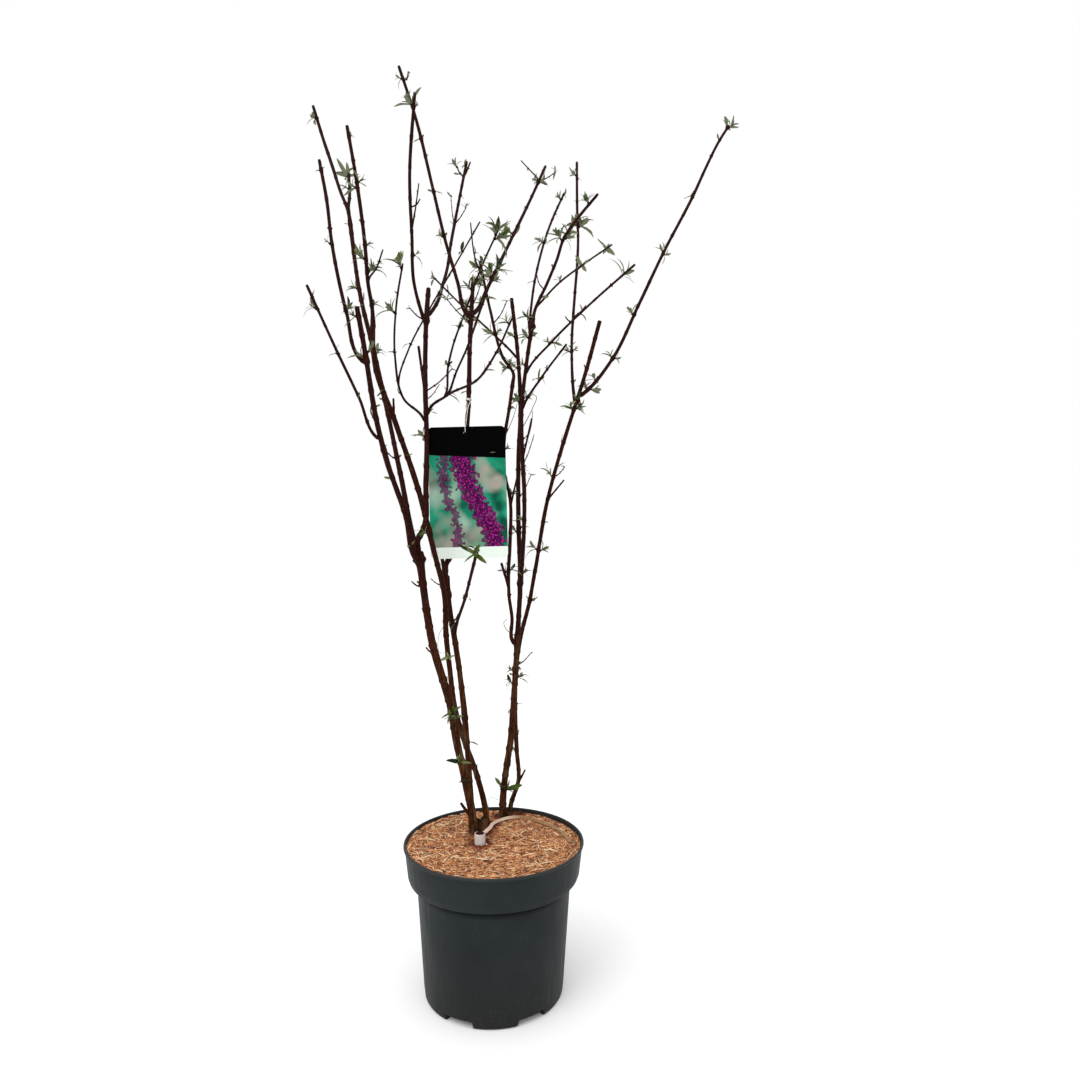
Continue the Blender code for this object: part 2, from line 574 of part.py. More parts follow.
def grow_leaf(owner, root, direction, face, length, crowding, collection):
    """Adds a leaf if its space is free."""
    shares = np.array([0.25, 0.5, 0.75, 1.0])
    places = root + direction * (shares * length)[:, None]
    radii = np.array([0.8, 1.0, 0.6, 0.1]) * LEAF_WIDTH_SHARE * length / 2
    if places[:, 2].min() < MULCH_TOP + 2 * CM or not crowding.clear_of_others(owner, places, radii):
        return
    crowding.add(owner, places, radii)
    leaf(f"leaf_{len(collection.objects)}", root, direction, face, length, collection)


def around(direction, bearing):
    """A unit vector square to a direction, turned round it by a bearing."""
    side = unit(np.cross(direction, (0.31, 0.95, 0.05)))
    return side * math.cos(bearing) + np.cross(direction, side) * math.sin(bearing)


def tuft(owner, root, direction, out, leaves, draw, crowding, collection):
    """A few leaves that fan out of one bud, the longest ones lowest."""
    for index in range(leaves):
        fan = (index - (leaves - 1) / 2) * TUFT_FAN
        rise = draw.uniform(*TUFT_RISE)
        length = draw.uniform(*LEAF_LENGTHS)
        way = unit(out + fan * np.cross(direction, out) + direction * rise)
        grow_leaf(owner, root, way, direction, length, crowding, collection)


def grow_twig(owner, root, direction, out, draw, crowding, collection):
    """A short side twig that bends up, with a pair of leaves halfway and a tuft at its tip."""
    length = draw.uniform(*TWIG_LENGTHS)
    bend = root + (out * TWIG_BEND[0] + direction * TWIG_BEND[1]) * length
    tip = root + (out * TWIG_END[0] + direction * TWIG_END[1]) * length
    stem = Stem([root, bend, tip], TWIG_RADIUS / MM, 0.6 * TWIG_RADIUS / MM, step=2 * CM)
    if not crowding.clear_of_others(owner, stem.places[1:], stem.radii[1:]):
        return
    crowding.add_stem(owner, stem)
    tube(f"twig_{len(collection.objects)}", stem.places, stem.radii, collection, 4)
    middle, along, _ = stem.at(0.55 * stem.length)
    across = np.cross(along, out)
    for side in (across, -across):
        grow_leaf(owner, middle, unit(side + 0.7 * along), along, draw.uniform(*LEAF_LENGTHS) * 0.8,
                  crowding, collection)
    end, along, _ = stem.at(stem.length - TWIG_RADIUS)
    tuft(owner, end, along, around(along, draw.uniform(0, math.tau)), 2, draw, crowding, collection)


def clothe(owner, stem, draw, crowding, collection):
    """Sets a shoot with opposite pairs of buds, each pair square to the last, closer to the tip."""
    distance = 0.6 * LOW_INTERNODE
    bearing = draw.uniform(0, math.tau)
    while distance < stem.length - TIP_INTERNODE / 2:
        share = distance / stem.length
        root, direction, _ = stem.at(distance)
        for side in (0, math.pi):
            out = around(direction, bearing + side)
            chance = draw.random()
            if chance < BARE_BUD_SHARE:
                continue
            if chance > 1 - TWIG_BUD_SHARE and share < 0.8:
                grow_twig(owner, root, direction, out, draw, crowding, collection)
            else:
                leaves = draw.choice(LEAVES_ON_A_BUD)
                tuft(owner, root, direction, out, leaves, draw, crowding, collection)
        bearing += math.pi / 2
        distance += LOW_INTERNODE + (TIP_INTERNODE - LOW_INTERNODE) * share
    end, direction, radius = stem.at(stem.length - 2 * MM)
    for side in (0, math.pi):
        out = around(direction, bearing + side)
        way = unit(out + 1.3 * direction)
        grow_leaf(owner, end, way, direction, draw.uniform(*LEAF_LENGTHS), crowding, collection)


def keep_largest_shell(item):
    """Fills hollows that the join sealed and drops loose scraps: only the outer shell stays."""
    form = bmesh.new()
    form.from_mesh(item.data)
    unseen = set(form.faces)
    shells = []
    while unseen:
        front = [unseen.pop()]
        shell = set(front)
        while front:
            for edge in front.pop().edges:
                for face in edge.link_faces:
                    if face in unseen:
                        unseen.discard(face)
                        shell.add(face)
                        front.append(face)
        shells.append(shell)
    largest = max(shells, key=lambda shell: sum(face.calc_area() for face in shell))
    scraps = [face for shell in shells if shell is not largest for face in shell]
    bmesh.ops.delete(form, geom=scraps, context="FACES")
    form.to_mesh(item.data)
    form.free()


def fuse(stem_object, collection):
    """Joins everything in the collection onto the stem as one closed solid."""
    if collection.objects:
        boolean(stem_object, collection, "UNION")
        empty_collection(collection)
        keep_largest_shell(stem_object)


def make_limb(limb, stems, crowding, parts, growth):
    """A cane or bough with its pruned stubs and the tufts that stand straight on it."""
    stem = stems[limb.name]
    body = tube(limb.name, stem.places, stem.radii, parts, 8 if limb in CANES else 6)
    for index, stub in enumerate(item for item in STUBS if item.limb == limb.name):
        root, _, girth = stem.at(stem.at_height(stub.start * CM))
        tip = np.array(stub.tip) * CM
        bend = root + unit(tip - root) * 2 * girth
        branch = Stem([root, bend, tip], stub.radius, 0.9 * stub.radius, step=3 * CM)
        crowding.add_stem(limb.name, branch)
        tube(f"stub_{index}", branch.places, branch.radii, growth, 6)
    draw = random.Random(len(limb.name) + limb.route[-1][2])
    for item in TUFTS:
        if item.limb == limb.name:
            root, direction, _ = stem.at(stem.at_height(item.start * CM))
            bearing = math.radians(item.bearing)
            flat = np.array([math.cos(bearing), math.sin(bearing), 0])
            out = unit(flat - direction * flat.dot(direction))
            tuft(limb.name, root, direction, out, item.leaves, draw, crowding, growth)
    fuse(body, growth)
    finish(body, "old_bark" if limb in CANES else "young_bark")
    smooth_shading(body)


def make_mass(index, mass, stems, crowding, parts, growth):
    """One shoot with its arms, twigs and leaves."""
    stem = stems[mass.name]
    body = tube(mass.name, stem.places, stem.radii, parts, 4)
    draw = random.Random(100 + index)
    clothe(mass.name, stem, draw, crowding, growth)
    for number, arm in enumerate(mass.arms):
        branch = stems[mass.name, number]
        tube(f"arm_{number}", branch.places, branch.radii, growth, 4)
        clothe(mass.name, branch, draw, crowding, growth)
    fuse(body, growth)
    finish(body, "foliage")


def arm_stem(arm, parent):
    """An arm's stem, which starts inside the shoot that carries it."""
    root, direction, girth = parent.at(parent.at_height(arm.start * CM))
    tail = [np.array(point) * CM for point in arm.route]
    toward = unit(tail[0] - root)
    return Stem([root, root + unit(toward + direction) * 3 * girth] + tail, arm.thick, arm.thin)


def all_stems():
    """Every limb, shoot and arm by name, an arm by its mass's name and its number."""
    stems = {}
    for limb in CANES + BOUGHS:
        stems[limb.name] = limb_stem(limb, stems, LIMB_STEP)
    for mass in MASSES:
        stems[mass.name] = limb_stem(mass, stems, SHOOT_STEP)
        for number, arm in enumerate(mass.arms):
            stems[mass.name, number] = arm_stem(arm, stems[mass.name])
    return stems


# Label, sleeve and strap


def hole_place():
    """The middle of the label's hole."""
    down = CARD_SIZE[1] / 2 - CARD_HOLE_DROP
    turn = Matrix.Rotation(CARD_TILT, 3, "Y")
    return Vector(CARD_CENTRE) + turn @ Vector((CARD_HOLE_SHIFT, 0, down))


def make_card(parts, cutters):
    """A thin plastic card with round corners and a hole near its top edge."""
    data = bpy.data.curves.new("label_card", "CURVE")
    data.dimensions = "2D"
    data.fill_mode = "BOTH"
    data.extrude = CARD_SIZE[2] / 2
    spline = data.splines.new("POLY")
    corners = []
    for turn in range(4):
        centre_x = (1, -1, -1, 1)[turn] * (CARD_SIZE[0] / 2 - CARD_CORNER)
        centre_y = (1, 1, -1, -1)[turn] * (CARD_SIZE[1] / 2 - CARD_CORNER)
        for part in range(5):
            angle = math.radians(90 * turn + 22.5 * part)
            corners.append((centre_x + CARD_CORNER * math.cos(angle),
                            centre_y + CARD_CORNER * math.sin(angle)))
    spline.points.add(len(corners) - 1)
    for point, (x, y) in zip(spline.points, corners):
        point.co = (x, y, 0, 1)
    spline.use_cyclic_u = True
    curve = bpy.data.objects.new("label_outline", data)
    cutters.objects.link(curve)
    form = bmesh.new()
    form.from_mesh(settled_mesh(curve))
    bpy.data.objects.remove(curve, do_unlink=True)
    bmesh.ops.remove_doubles(form, verts=form.verts, dist=0.00001)
    stand = Matrix.Rotation(CARD_TILT, 4, "Y") @ Matrix.Rotation(math.pi / 2, 4, "X")
    bmesh.ops.transform(form, matrix=Matrix.Translation(CARD_CENTRE) @ stand, verts=form.verts)
    card = mesh_object("label_card", form, parts)
    form = bmesh.new()
    bmesh.ops.create_cone(form, cap_ends=True, segments=16, radius1=CARD_HOLE_RADIUS,
                          radius2=CARD_HOLE_RADIUS, depth=10 * CARD_SIZE[2])
    place = Matrix.Translation(hole_place()) @ Matrix.Rotation(math.pi / 2, 4, "X")
    bmesh.ops.transform(form, matrix=place, verts=form.verts)
    boolean(card, mesh_object("label_hole", form, cutters), "DIFFERENCE")
    empty_collection(cutters)
    finish(card, "card", roughness=0.35)


def make_loop(stems, parts):
    """The label's loop: round its stem, down each side of the card and through the hole."""
    stem = stems["label_bough"]
    place, _, girth = stem.at(stem.at_height(LOOP_TOP))
    reach = girth + CLEARANCE + LOOP_RADIUS + LOOP_SLACK
    hole = hole_place()
    drop = CARD_HOLE_RADIUS - LOOP_RADIUS - CLEARANCE
    edge = CARD_SIZE[2] / 2 + CLEARANCE + LOOP_RADIUS + 0.2 * MM
    x, y, z = place
    card_top = hole.z + CARD_HOLE_DROP
    points = [
        (x, y + reach, z), (x - reach, y, z - 1 * MM), (x - reach, y - reach, z - 5 * MM),
        (hole.x - 1 * MM, hole.y - edge, card_top + 8 * MM), (hole.x, hole.y - edge, hole.z + 2 * drop),
        (hole.x, hole.y - edge, hole.z + drop), (hole.x, hole.y, hole.z + drop - 0.6 * MM),
        (hole.x, hole.y + edge, hole.z + drop), (hole.x, hole.y + edge, hole.z + 2 * drop),
        (hole.x + 1 * MM, hole.y + edge, card_top + 8 * MM), (x + reach, y - reach, z - 5 * MM),
        (x + reach, y, z - 1 * MM), (x, y + reach, z),
    ]
    data = bpy.data.curves.new("label_loop", "CURVE")
    data.dimensions = "3D"
    data.bevel_depth = LOOP_RADIUS
    data.bevel_resolution = 0
    spline = data.splines.new("POLY")
    fine = smooth_route(points, 3.5 * MM)[:-1]
    spline.points.add(len(fine) - 1)
    for point, spot in zip(spline.points, fine):
        point.co = (*spot, 1)
    spline.use_cyclic_u = True
    curve = bpy.data.objects.new("label_loop_line", data)
    parts.objects.link(curve)
    form = bmesh.new()
    form.from_mesh(settled_mesh(curve))
    bpy.data.objects.remove(curve, do_unlink=True)
    loop = mesh_object("label_loop", form, parts)
    finish(loop, "white_plastic", roughness=0.4)


def make_sleeve(parts):
    """A short open white plastic sleeve that stands on the mulch round a cut stump."""
    foot = MULCH_TOP + CLEARANCE
    inner = SLEEVE_RADIUS - SLEEVE_WALL
    floor = foot + 3 * MM
    top = foot + SLEEVE_HEIGHT
    profile = [(0, floor), (inner, floor), (inner, top)]
    profile += [(SLEEVE_RADIUS, top), (SLEEVE_RADIUS, foot), (0, foot)]
    sleeve = turned("base_sleeve", profile, parts, steps=24)
    stump_profile = [(0, floor + 0.5 * SLEEVE_HEIGHT), (0.55 * inner, floor + 0.5 * SLEEVE_HEIGHT),
                     (0.65 * inner, floor + CLEARANCE), (0, floor + CLEARANCE)]
    stump = turned("cut_stump", stump_profile, parts, steps=12)
    for item in (sleeve, stump):
        item.location = (*SLEEVE_PLACE, 0)
    finish(sleeve, "white_plastic", roughness=0.5)
    finish(stump, "old_bark")


def make_strap(parts):
    """A flat plastic strap that lies in an arc on the mulch."""
    height = (MULCH_TOP + CLEARANCE + STRAP_SIZE[1] / 2) / CM
    route = smooth_route([(x * CM, y * CM, height * CM) for x, y in STRAP_ROUTE], 1.6 * CM)
    data = bpy.data.curves.new("strap", "CURVE")
    data.dimensions = "2D"
    data.extrude = STRAP_SIZE[1] / 2
    spline = data.splines.new("POLY")
    headings = np.gradient(route, axis=0)
    sides = np.stack([-headings[:, 1], headings[:, 0]], axis=1)
    sides /= np.linalg.norm(sides, axis=1)[:, None]
    left = route[:, :2] + sides * STRAP_SIZE[0] / 2
    right = route[:, :2] - sides * STRAP_SIZE[0] / 2
    outline = np.vstack([left, right[::-1]])
    data.fill_mode = "BOTH"
    spline.points.add(len(outline) - 1)
    for point, (x, y) in zip(spline.points, outline):
        point.co = (x, y, 0, 1)
    spline.use_cyclic_u = True
    curve = bpy.data.objects.new("strap_outline", data)
    parts.objects.link(curve)
    form = bmesh.new()
    form.from_mesh(settled_mesh(curve))
    bpy.data.objects.remove(curve, do_unlink=True)
    bmesh.ops.remove_doubles(form, verts=form.verts, dist=0.00001)
    bmesh.ops.translate(form, vec=(0, 0, height * CM), verts=form.verts)
    strap = mesh_object("strap", form, parts)
    finish(strap, "strap", roughness=0.4)


def main():
    clear_scene()
    parts = new_collection("potted_butterfly_bush")
    cutters = new_collection("cutters", hidden=True)
    growth = new_collection("growth", hidden=True)
    make_pot(parts, cutters)
    make_mulch(parts, cutters)
    stems = all_stems()
    crowding = Crowding()
    for key, stem in stems.items():
        crowding.add_stem(key[0] if isinstance(key, tuple) else key, stem)
    make_card(parts, cutters)
    make_loop(stems, parts)
    make_sleeve(parts)
    make_strap(parts)
    for limb in CANES + BOUGHS:
        make_limb(limb, stems, crowding, parts, growth)
    for index, mass in enumerate(MASSES):
        make_mass(index, mass, stems, crowding, parts, growth)
    for collection in (cutters, growth):
        bpy.data.collections.remove(collection)


if __name__ == "__main__":
    main()
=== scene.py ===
"""The looks of a butterfly bush in a nursery pot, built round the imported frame.

Metres, +Z up, the front is -Y. Canes, boughs and shoots follow the routes of the solids they
replace. Bark, twigs, leaves, mulch, pot and label are surfaces worked out with numpy: a profile
carried along a route, or a function of two parameters on a grid.
"""

import math
import random

import bmesh
import bpy
import numpy as np
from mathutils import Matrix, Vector


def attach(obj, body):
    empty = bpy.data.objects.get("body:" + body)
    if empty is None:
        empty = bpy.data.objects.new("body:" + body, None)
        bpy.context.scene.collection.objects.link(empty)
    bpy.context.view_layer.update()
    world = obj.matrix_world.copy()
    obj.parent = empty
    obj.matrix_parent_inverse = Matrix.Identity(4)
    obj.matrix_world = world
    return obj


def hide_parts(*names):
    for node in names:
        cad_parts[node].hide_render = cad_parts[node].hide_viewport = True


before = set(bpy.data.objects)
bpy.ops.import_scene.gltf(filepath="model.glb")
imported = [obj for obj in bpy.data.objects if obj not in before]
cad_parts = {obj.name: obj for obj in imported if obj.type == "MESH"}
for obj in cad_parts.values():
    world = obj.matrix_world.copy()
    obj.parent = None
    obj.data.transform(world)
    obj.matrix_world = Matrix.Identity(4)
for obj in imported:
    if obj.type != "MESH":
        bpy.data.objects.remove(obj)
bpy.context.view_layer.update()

CM = 0.01
MM = 0.001
SEED = 2094

# The camera: where it stands, how far it looks down, and its lens in millimetres
CAMERA_PLACE = (0.0805, -1.32, 0.7935)
CAMERA_DIP = 0.0065
CAMERA_LENS = 25.1

# The floor's reach, and the area lights: their places, sizes and powers, and where they aim
FLOOR_REACH = 14.0
LIGHTS = (("key", (-1.9, -2.2, 3.0), 2.0, 34), ("fill", (2.4, -1.8, 2.0), 2.2, 10))
LIGHT_AIM = (0, 0, 0.8)

# The pot
POT_HEIGHT = 26.0 * CM
RIM_RADIUS = 15.7 * CM
BASE_RADIUS = 12.05 * CM
COLLAR_FOOT_HEIGHT = 19.7 * CM
COLLAR_FOOT_RADIUS = 14.8 * CM
NECK_RADIUS = 13.4 * CM
LIP_HEIGHT = 4.0 * MM
LIP_WIDTH = 1.5 * MM
POT_WALL = 2.6 * MM
FEET = 6
FIRST_CHANNEL_ANGLE = math.radians(-55.5)
CHANNEL_HALF_ANGLE = math.radians(12.2)
CHANNEL_HEIGHT = 10.0 * MM
CHANNEL_INNER_RADIUS = 7.5 * CM
CHANNEL_EDGE = 2.0 * MM
DRAIN_HOLE_RADIUS = 7.0 * MM
DRAIN_HOLE_REACH = 10.0 * CM
POT_TAPER = (NECK_RADIUS - BASE_RADIUS) / COLLAR_FOOT_HEIGHT
FOOT_ROUND = 5.0 * MM
POT_SHARP = 50
ROUND_STEP = 1.5

# The mulch
MULCH_TOP = POT_HEIGHT - 5.0 * MM
MULCH_RADIUS = 15.25 * CM
MULCH_EDGE = 13.5 * CM
MULCH_EDGE_WIDTH = 1.8 * CM
CHIP_REACH = 15.15 * CM
CHIP_COUNT = 11000
SLIVER_COUNT = 260

# The mulch bed's side and underside, from its top edge down and in: radius and height in centimetres
MULCH_SIDE = ((15.15, 23.5), (14.75, 21.2), (14.45, 20.6), (13.2, 20.0), (13.02, 19.0), (12.38, 10.0),
              (11.76, 1.4), (0.01, 1.32))

# The label, the sleeve, the strap and the threads, whose routes and tips have bare numbers: routes
# in centimetres, and the tips of the label's thread in millimetres from where it crosses its stem
CARD_SIZE = (13.6 * CM, 23.1 * CM, 0.6 * MM)
CARD_CENTRE = (-4.62 * CM, 0.30 * CM, 86.85 * CM)
CARD_TILT = math.radians(-1.4)
CARD_CORNER = 8.0 * MM
CARD_HOLE_RADIUS = 3.0 * MM
CARD_HOLE_DROP = 11.0 * MM
CARD_HOLE_SHIFT = -2.0 * MM
LOOP_RADIUS = 0.6 * MM
LOOP_TOP = 103.4 * CM
LOOP_SLACK = 0.9 * MM
THREAD_TIPS = ((-9.0, -5.0, 9.0), (-8.0, -6.0, 3.0), (5.0, -6.0, -6.0))
SLEEVE_PLACE = (-2.4 * CM, -1.2 * CM)
SLEEVE_RADIUS = 9.5 * MM
SLEEVE_WALL = 1.3 * MM
SLEEVE_HEIGHT = 19.0 * MM
STRAP_ROUTE = ((-0.6, 6.2), (0.5, 8.6), (2.9, 10.4), (5.4, 10.3), (8.7, 7.8), (11.8, 4.0), (13.4, -0.6))
STRAP_START = ((-1.6, -0.3), (-0.9, 2.6))
STRAP_LIFT = 13.5 * MM
STRAP_SIZE = (7.0 * MM, 1.0 * MM)
BLUE_THREAD_ROUTE = ((-1.75, 8.2, 26.2), (-1.6, 8.4, 28.4), (-1.5, 8.6, 29.4), (-1.2, 8.9, 30.2),
                     (-0.5, 9.3, 29.9), (0.1, 10.0, 29.3), (0.7, 10.9, 29.2))

# How limbs swell, how far their bark stands over the solids, and how far apart their nodes are
BARK_SHARE = 1.04
BARK_DEPTH = 0.30 * MM
GROUND_FLARE = 0.4
TIP_FLARE = 0.25
FORK_FLARE = 0.45
ARM_FLARE = 0.3
FLARE_REACH = 1.6 * CM
KNOB_REACH = 2.4 * CM
LOW_INTERNODE = 6.4 * CM
TIP_INTERNODE = 3.4 * CM
TWIG_RADIUS = 0.9 * MM
KEEP_CLEAR = 0.6 * MM
ROUND_REFERENCE = (0.31, 0.95, 0.05)

# Limbs, shoots and arms, with the routes of the solids: radii in millimetres, places and heights
# in centimetres. A route starts on the mulch, on the parent's tip or at a height on its side.
LIMBS = (
    ("left_cane", "mulch", None, 6.8, 5.6, 0.45,
     ((-3.9, 3.2), (-5.3, 2.4, 35.5), (-6.6, 1.5, 42), (-7.7, 0.5, 49), (-10.5, -2, 60.5),
      (-12.6, -4, 76.5))),
    ("middle_cane", "mulch", None, 5.2, 4.3, 0.45,
     ((-4.5, 5.7), (-5.0, 5.6, 36.5), (-5.8, 5.5, 47), (-6.9, 5.1, 56.5), (-8.4, 4.4, 66.5),
      (-9.0, 4, 72))),
    ("crossing_cane", "mulch", None, 5.0, 3.4, 0.1,
     ((-1.9, 7.4), (-3.4, 8.2, 33.5), (-6.2, 8, 41.5), (-7.6, 7, 47), (-8.5, 5.8, 55),
      (-8.8, 3, 61.5), (-8.6, 0, 68), (-9.8, -6, 77), (-11.9, -9, 87), (-15.6, -9.5, 98),
      (-18.7, -10, 107), (-19, -10, 114.5))),
    ("right_cane", "mulch", None, 5.8, 4.6, 0.3,
     ((0.9, 11.3), (1.2, 10.4, 31.5), (2.6, 8, 41.5), (3.5, 6, 53.5), (4, 5, 61.5))),
    ("thin_cane", "mulch", None, 3.6, 3.2, 0,
     ((2.3, 13.6), (3.9, 13.2, 32), (3.6, 12.2, 38), (3.4, 11, 44), (3.7, 10.8, 55.5),
      (4.5, 11, 60.5), (5.9, 12, 66), (7.1, 13, 72.5), (9.7, 14.3, 87), (12.5, 15, 97),
      (15.2, 15, 105.5), (16.8, 14, 110.5), (19.4, 11, 120))),
    ("left_outer_bough", "left_cane", 75.3, 4.2, 3.2, 0,
     ((-14.1, -7, 82), (-16.3, -12, 91), (-17.3, -15, 97), (-18.2, -19, 107), (-18.9, -21, 113))),
    ("left_inner_bough", "left_cane", 75.9, 4.0, 3.2, 0.1,
     ((-16.4, 0, 90), (-18.7, 2, 99.5), (-21.8, 4, 112), (-24.6, 5, 123), (-27.0, 7, 137.5))),
    ("centre_bough", "left_cane", "tip", 4.4, 3.6, 0,
     ((-11.8, -3.4, 80.5), (-11.6, -2.2, 88), (-11.7, -0.6, 96.5), (-12.1, 0.6, 104),
      (-12.1, 2, 118.5), (-11.9, 3, 123.5))),
    ("label_bough", "middle_cane", "tip", 4.0, 3.3, 0,
     ((-7.5, 3.5, 76.5), (-6, 1.5, 87.5), (-4.7, 1.5, 101), (-4.6, 4, 113.5), (-4.5, 6, 120.5),
      (-4.3, 8, 127.2))),
    ("right_front_bough", "right_cane", 59.6, 2.9, 2.5, 0.2,
     ((3.0, 3.6, 64.4), (2.5, 3.1, 68.5), (2.4, 2.7, 72), (2.7, 2, 78), (2.7, 2, 86),
      (1.6, 2.4, 91), (1.7, 2.4, 96.5), (2.6, 2, 102), (3.3, 2, 107))),
    ("right_inner_bough", "right_cane", "tip", 4.2, 2.9, 0,
     ((4.4, 7.6, 71.5), (4, 9.6, 82), (4, 9.4, 93.5), (4.4, 7.8, 104), (4, 8.2, 112), (2.8, 7, 123))),
    ("right_outer_bough", "right_inner_bough", 70.5, 3.5, 3.1, 0.2,
     ((5.0, 4.6, 77), (5.2, 4.6, 87), (4.8, 4.6, 95), (4.7, 5.4, 102), (5.5, 8.4, 111),
      (6.8, 11, 120.6))),
)
CANE_NAMES = ("left_cane", "middle_cane", "crossing_cane", "right_cane", "thin_cane")
SHOOTS = (
    ("far_left_shoot", "left_outer_bough", 105.4, 2.4, 2.1,
     ((-20.4, -21, 112), (-22.3, -22, 122), (-23.0, -22, 128), (-24.1, -22, 134)), ()),
    ("low_left_shoot", "left_outer_bough", 94.6, 1.9, 1.6,
     ((-19.2, -18.4, 100), (-21.1, -23, 105.5), (-23.8, -29, 113.5)), ()),
    ("upper_left_shoot", "left_inner_bough", "tip", 2.8, 2.4,
     ((-29.2, 8.6, 143.6), (-30.9, 9.4, 148.6), (-32.7, 10, 153.8), (-34.6, 10, 160)),
     ((138.6, 2.6, 2.3, ((-27.5, 9, 142.5), (-28.4, 12, 148.2))),)),
    ("crossing_shoot", "crossing_cane", "tip", 2.8, 2.2,
     ((-19.6, -10.8, 120), (-19.9, -11.4, 125.5), (-20.8, -13, 134.8), (-22.1, -14, 143.3)),
     ((119.6, 1.2, 0.9, ((-17.9, -12.4, 121.6), (-16.5, -14, 124.0))),)),
    ("centre_shoot", "centre_bough", 117.0, 2.6, 2.3,
     ((-13.8, -1, 123), (-13.5, -5, 129.5), (-13, -10, 137.5), (-11.5, -14, 148.5)), ()),
    ("back_centre_shoot", "centre_bough", 118.6, 2.7, 2.3,
     ((-10.5, 5, 121.8), (-10.0, 7.4, 125.3), (-9.4, 10, 129.5), (-9.2, 13, 134.5), (-8, 16, 144),
      (-6.5, 18, 153.5)),
     ((149.6, 1.2, 0.9, ((-7.8, 17.3, 150.9), (-8.4, 17.5, 152.4))),)),
    ("front_left_shoot", "centre_bough", 99.2, 1.7, 1.1,
     ((-15, -4.5, 102.4), (-15.6, -9, 108.5), (-14.4, -14, 115.5), (-12.5, -19, 120)),
     ((104.4, 1.2, 0.8, ((-13.5, -8, 110), (-9.6, -11.4, 115.5), (-4.8, -16, 121.2), (-0.7, -22, 125))),)),
    ("front_shoot", "centre_bough", 100.4, 2.0, 1.1,
     ((-8, -4, 102.9), (-1.4, -12, 104.6), (1.3, -16, 107.4), (4, -22, 111)),
     ((102.8, 1.5, 1.1, ((-7.6, -3.8, 107.8), (-6.7, -4.4, 111.3), (-4.5, -6, 116.5), (-1.5, -9, 123),
                         (1.5, -13, 127.5))),
      (103.0, 1.5, 1.4, ((-6, -6.5, 106.2), (-3.65, -11, 109.4), (-1.1, -16, 114), (1.3, -20.5, 118.3))))),
    ("tallest_shoot", "label_bough", 119.0, 2.8, 2.4,
     ((-7, 6.6, 125.5), (-9.5, 7, 134), (-11.6, 6, 143), (-14.5, 4, 155), (-17, 2, 162.5)), ()),
    ("back_right_shoot", "label_bough", 120.0, 3.1, 2.5,
     ((-2, 10, 125.5), (2.5, 17, 138), (6.2, 22, 148), (9.2, 26, 156.5)),
     ((152.2, 1.1, 0.8, ((6.0, 24.3, 154.8), (4.1, 24.6, 157))),)),
    ("label_twig", "middle_cane", 61.5, 2.4, 2.2,
     ((-4.8, -3, 68.5), (-3.3, -7.4, 73), (-1.9, -11, 77.5)), ()),
    ("right_front_shoot", "right_front_bough", "tip", 2.3, 1.9,
     ((1.6, 0.8, 110.5), (-0.5, -2, 118), (-2.1, -5, 125.5)),
     ((121.5, 1.0, 0.7, ((-2.7, -7.4, 125.2), (-3, -12, 129))),)),
    ("long_back_shoot", "right_inner_bough", 112.4, 1.7, 1.4,
     ((-1.7, 12, 118.5), (-7.6, 17.5, 125), (-14, 23, 132.5)), ()),
    ("right_back_shoot", "right_outer_bough", 118.6, 2.0, 1.9,
     ((6.5, 14.4, 125), (8.8, 20, 138), (10.9, 24.5, 145.5), (13.2, 28, 151.8)), ()),
    ("right_shoot", "right_outer_bough", "tip", 2.5, 2.1,
     ((9.5, 9.8, 126.9), (11.2, 9, 130.8), (12.5, 8.2, 134.5), (14.9, 6.6, 137.4), (18.5, 4, 140.8)),
     ((122.0, 1.6, 1.4, ((8.2, 11.8, 123.7), (10.5, 13.2, 126.7), (17, 20, 134), (23.2, 27, 140.5))),)),
    ("right_front_twig", "right_outer_bough", 109.2, 1.7, 1.5,
     ((9.9, 3, 113.7), (16.4, -4, 118.4), (23, -13, 122)), ()),
    ("short_front_twig", "right_outer_bough", 102.4, 1.7, 1.5,
     ((8, 1.4, 106.8), (12.5, -5, 111.5)), ()),
    ("upright_right_shoot", "thin_cane", 105.2, 2.5, 2.4,
     ((14.4, 19, 115.5), (15.3, 25, 129.5), (15.9, 27.4, 136.5), (16.2, 29.6, 143), (16.1, 31, 148.5),
      (16.1, 33, 160.8)), ()),
    ("far_right_shoot", "thin_cane", 106.6, 3.0, 2.3,
     ((22, 15.6, 113.5), (27.4, 16, 124.5), (32.4, 15.6, 135), (37.9, 15, 145.5), (40.4, 15, 151),
      (42.9, 15, 156), (44.8, 15, 159)), ()),
)

# Pruned stubs: the limb, the height where it leaves, its radius in millimetres, its tip
STUBS = (
    ("left_cane", 74.2, 2.0, (-12.3, -6.0, 79.4)), ("middle_cane", 68.0, 3.0, (-9.6, 1.8, 77.0)),
    ("middle_cane", 70.6, 2.0, (-9.0, 6.2, 74.6)), ("crossing_cane", 98.2, 1.3, (-15.4, -11.4, 101.2)),
    ("centre_bough", 103.6, 1.9, (-13.6, 2.4, 113)), ("right_front_bough", 70.0, 1.7, (1.2, 1.4, 74.4)),
    ("right_front_bough", 84.6, 1.2, (4.0, 0.2, 89.4)), ("right_outer_bough", 93.0, 1.3, (6.6, 1.4, 100)),
    ("thin_cane", 31.2, 1.3, (5.2, 12.2, 34.3)), ("thin_cane", 86.2, 1.3, (12.6, 11.2, 89.8)),
    ("left_cane", 28.0, 2.0, (-6.1, 2.4, 31.4)),
)

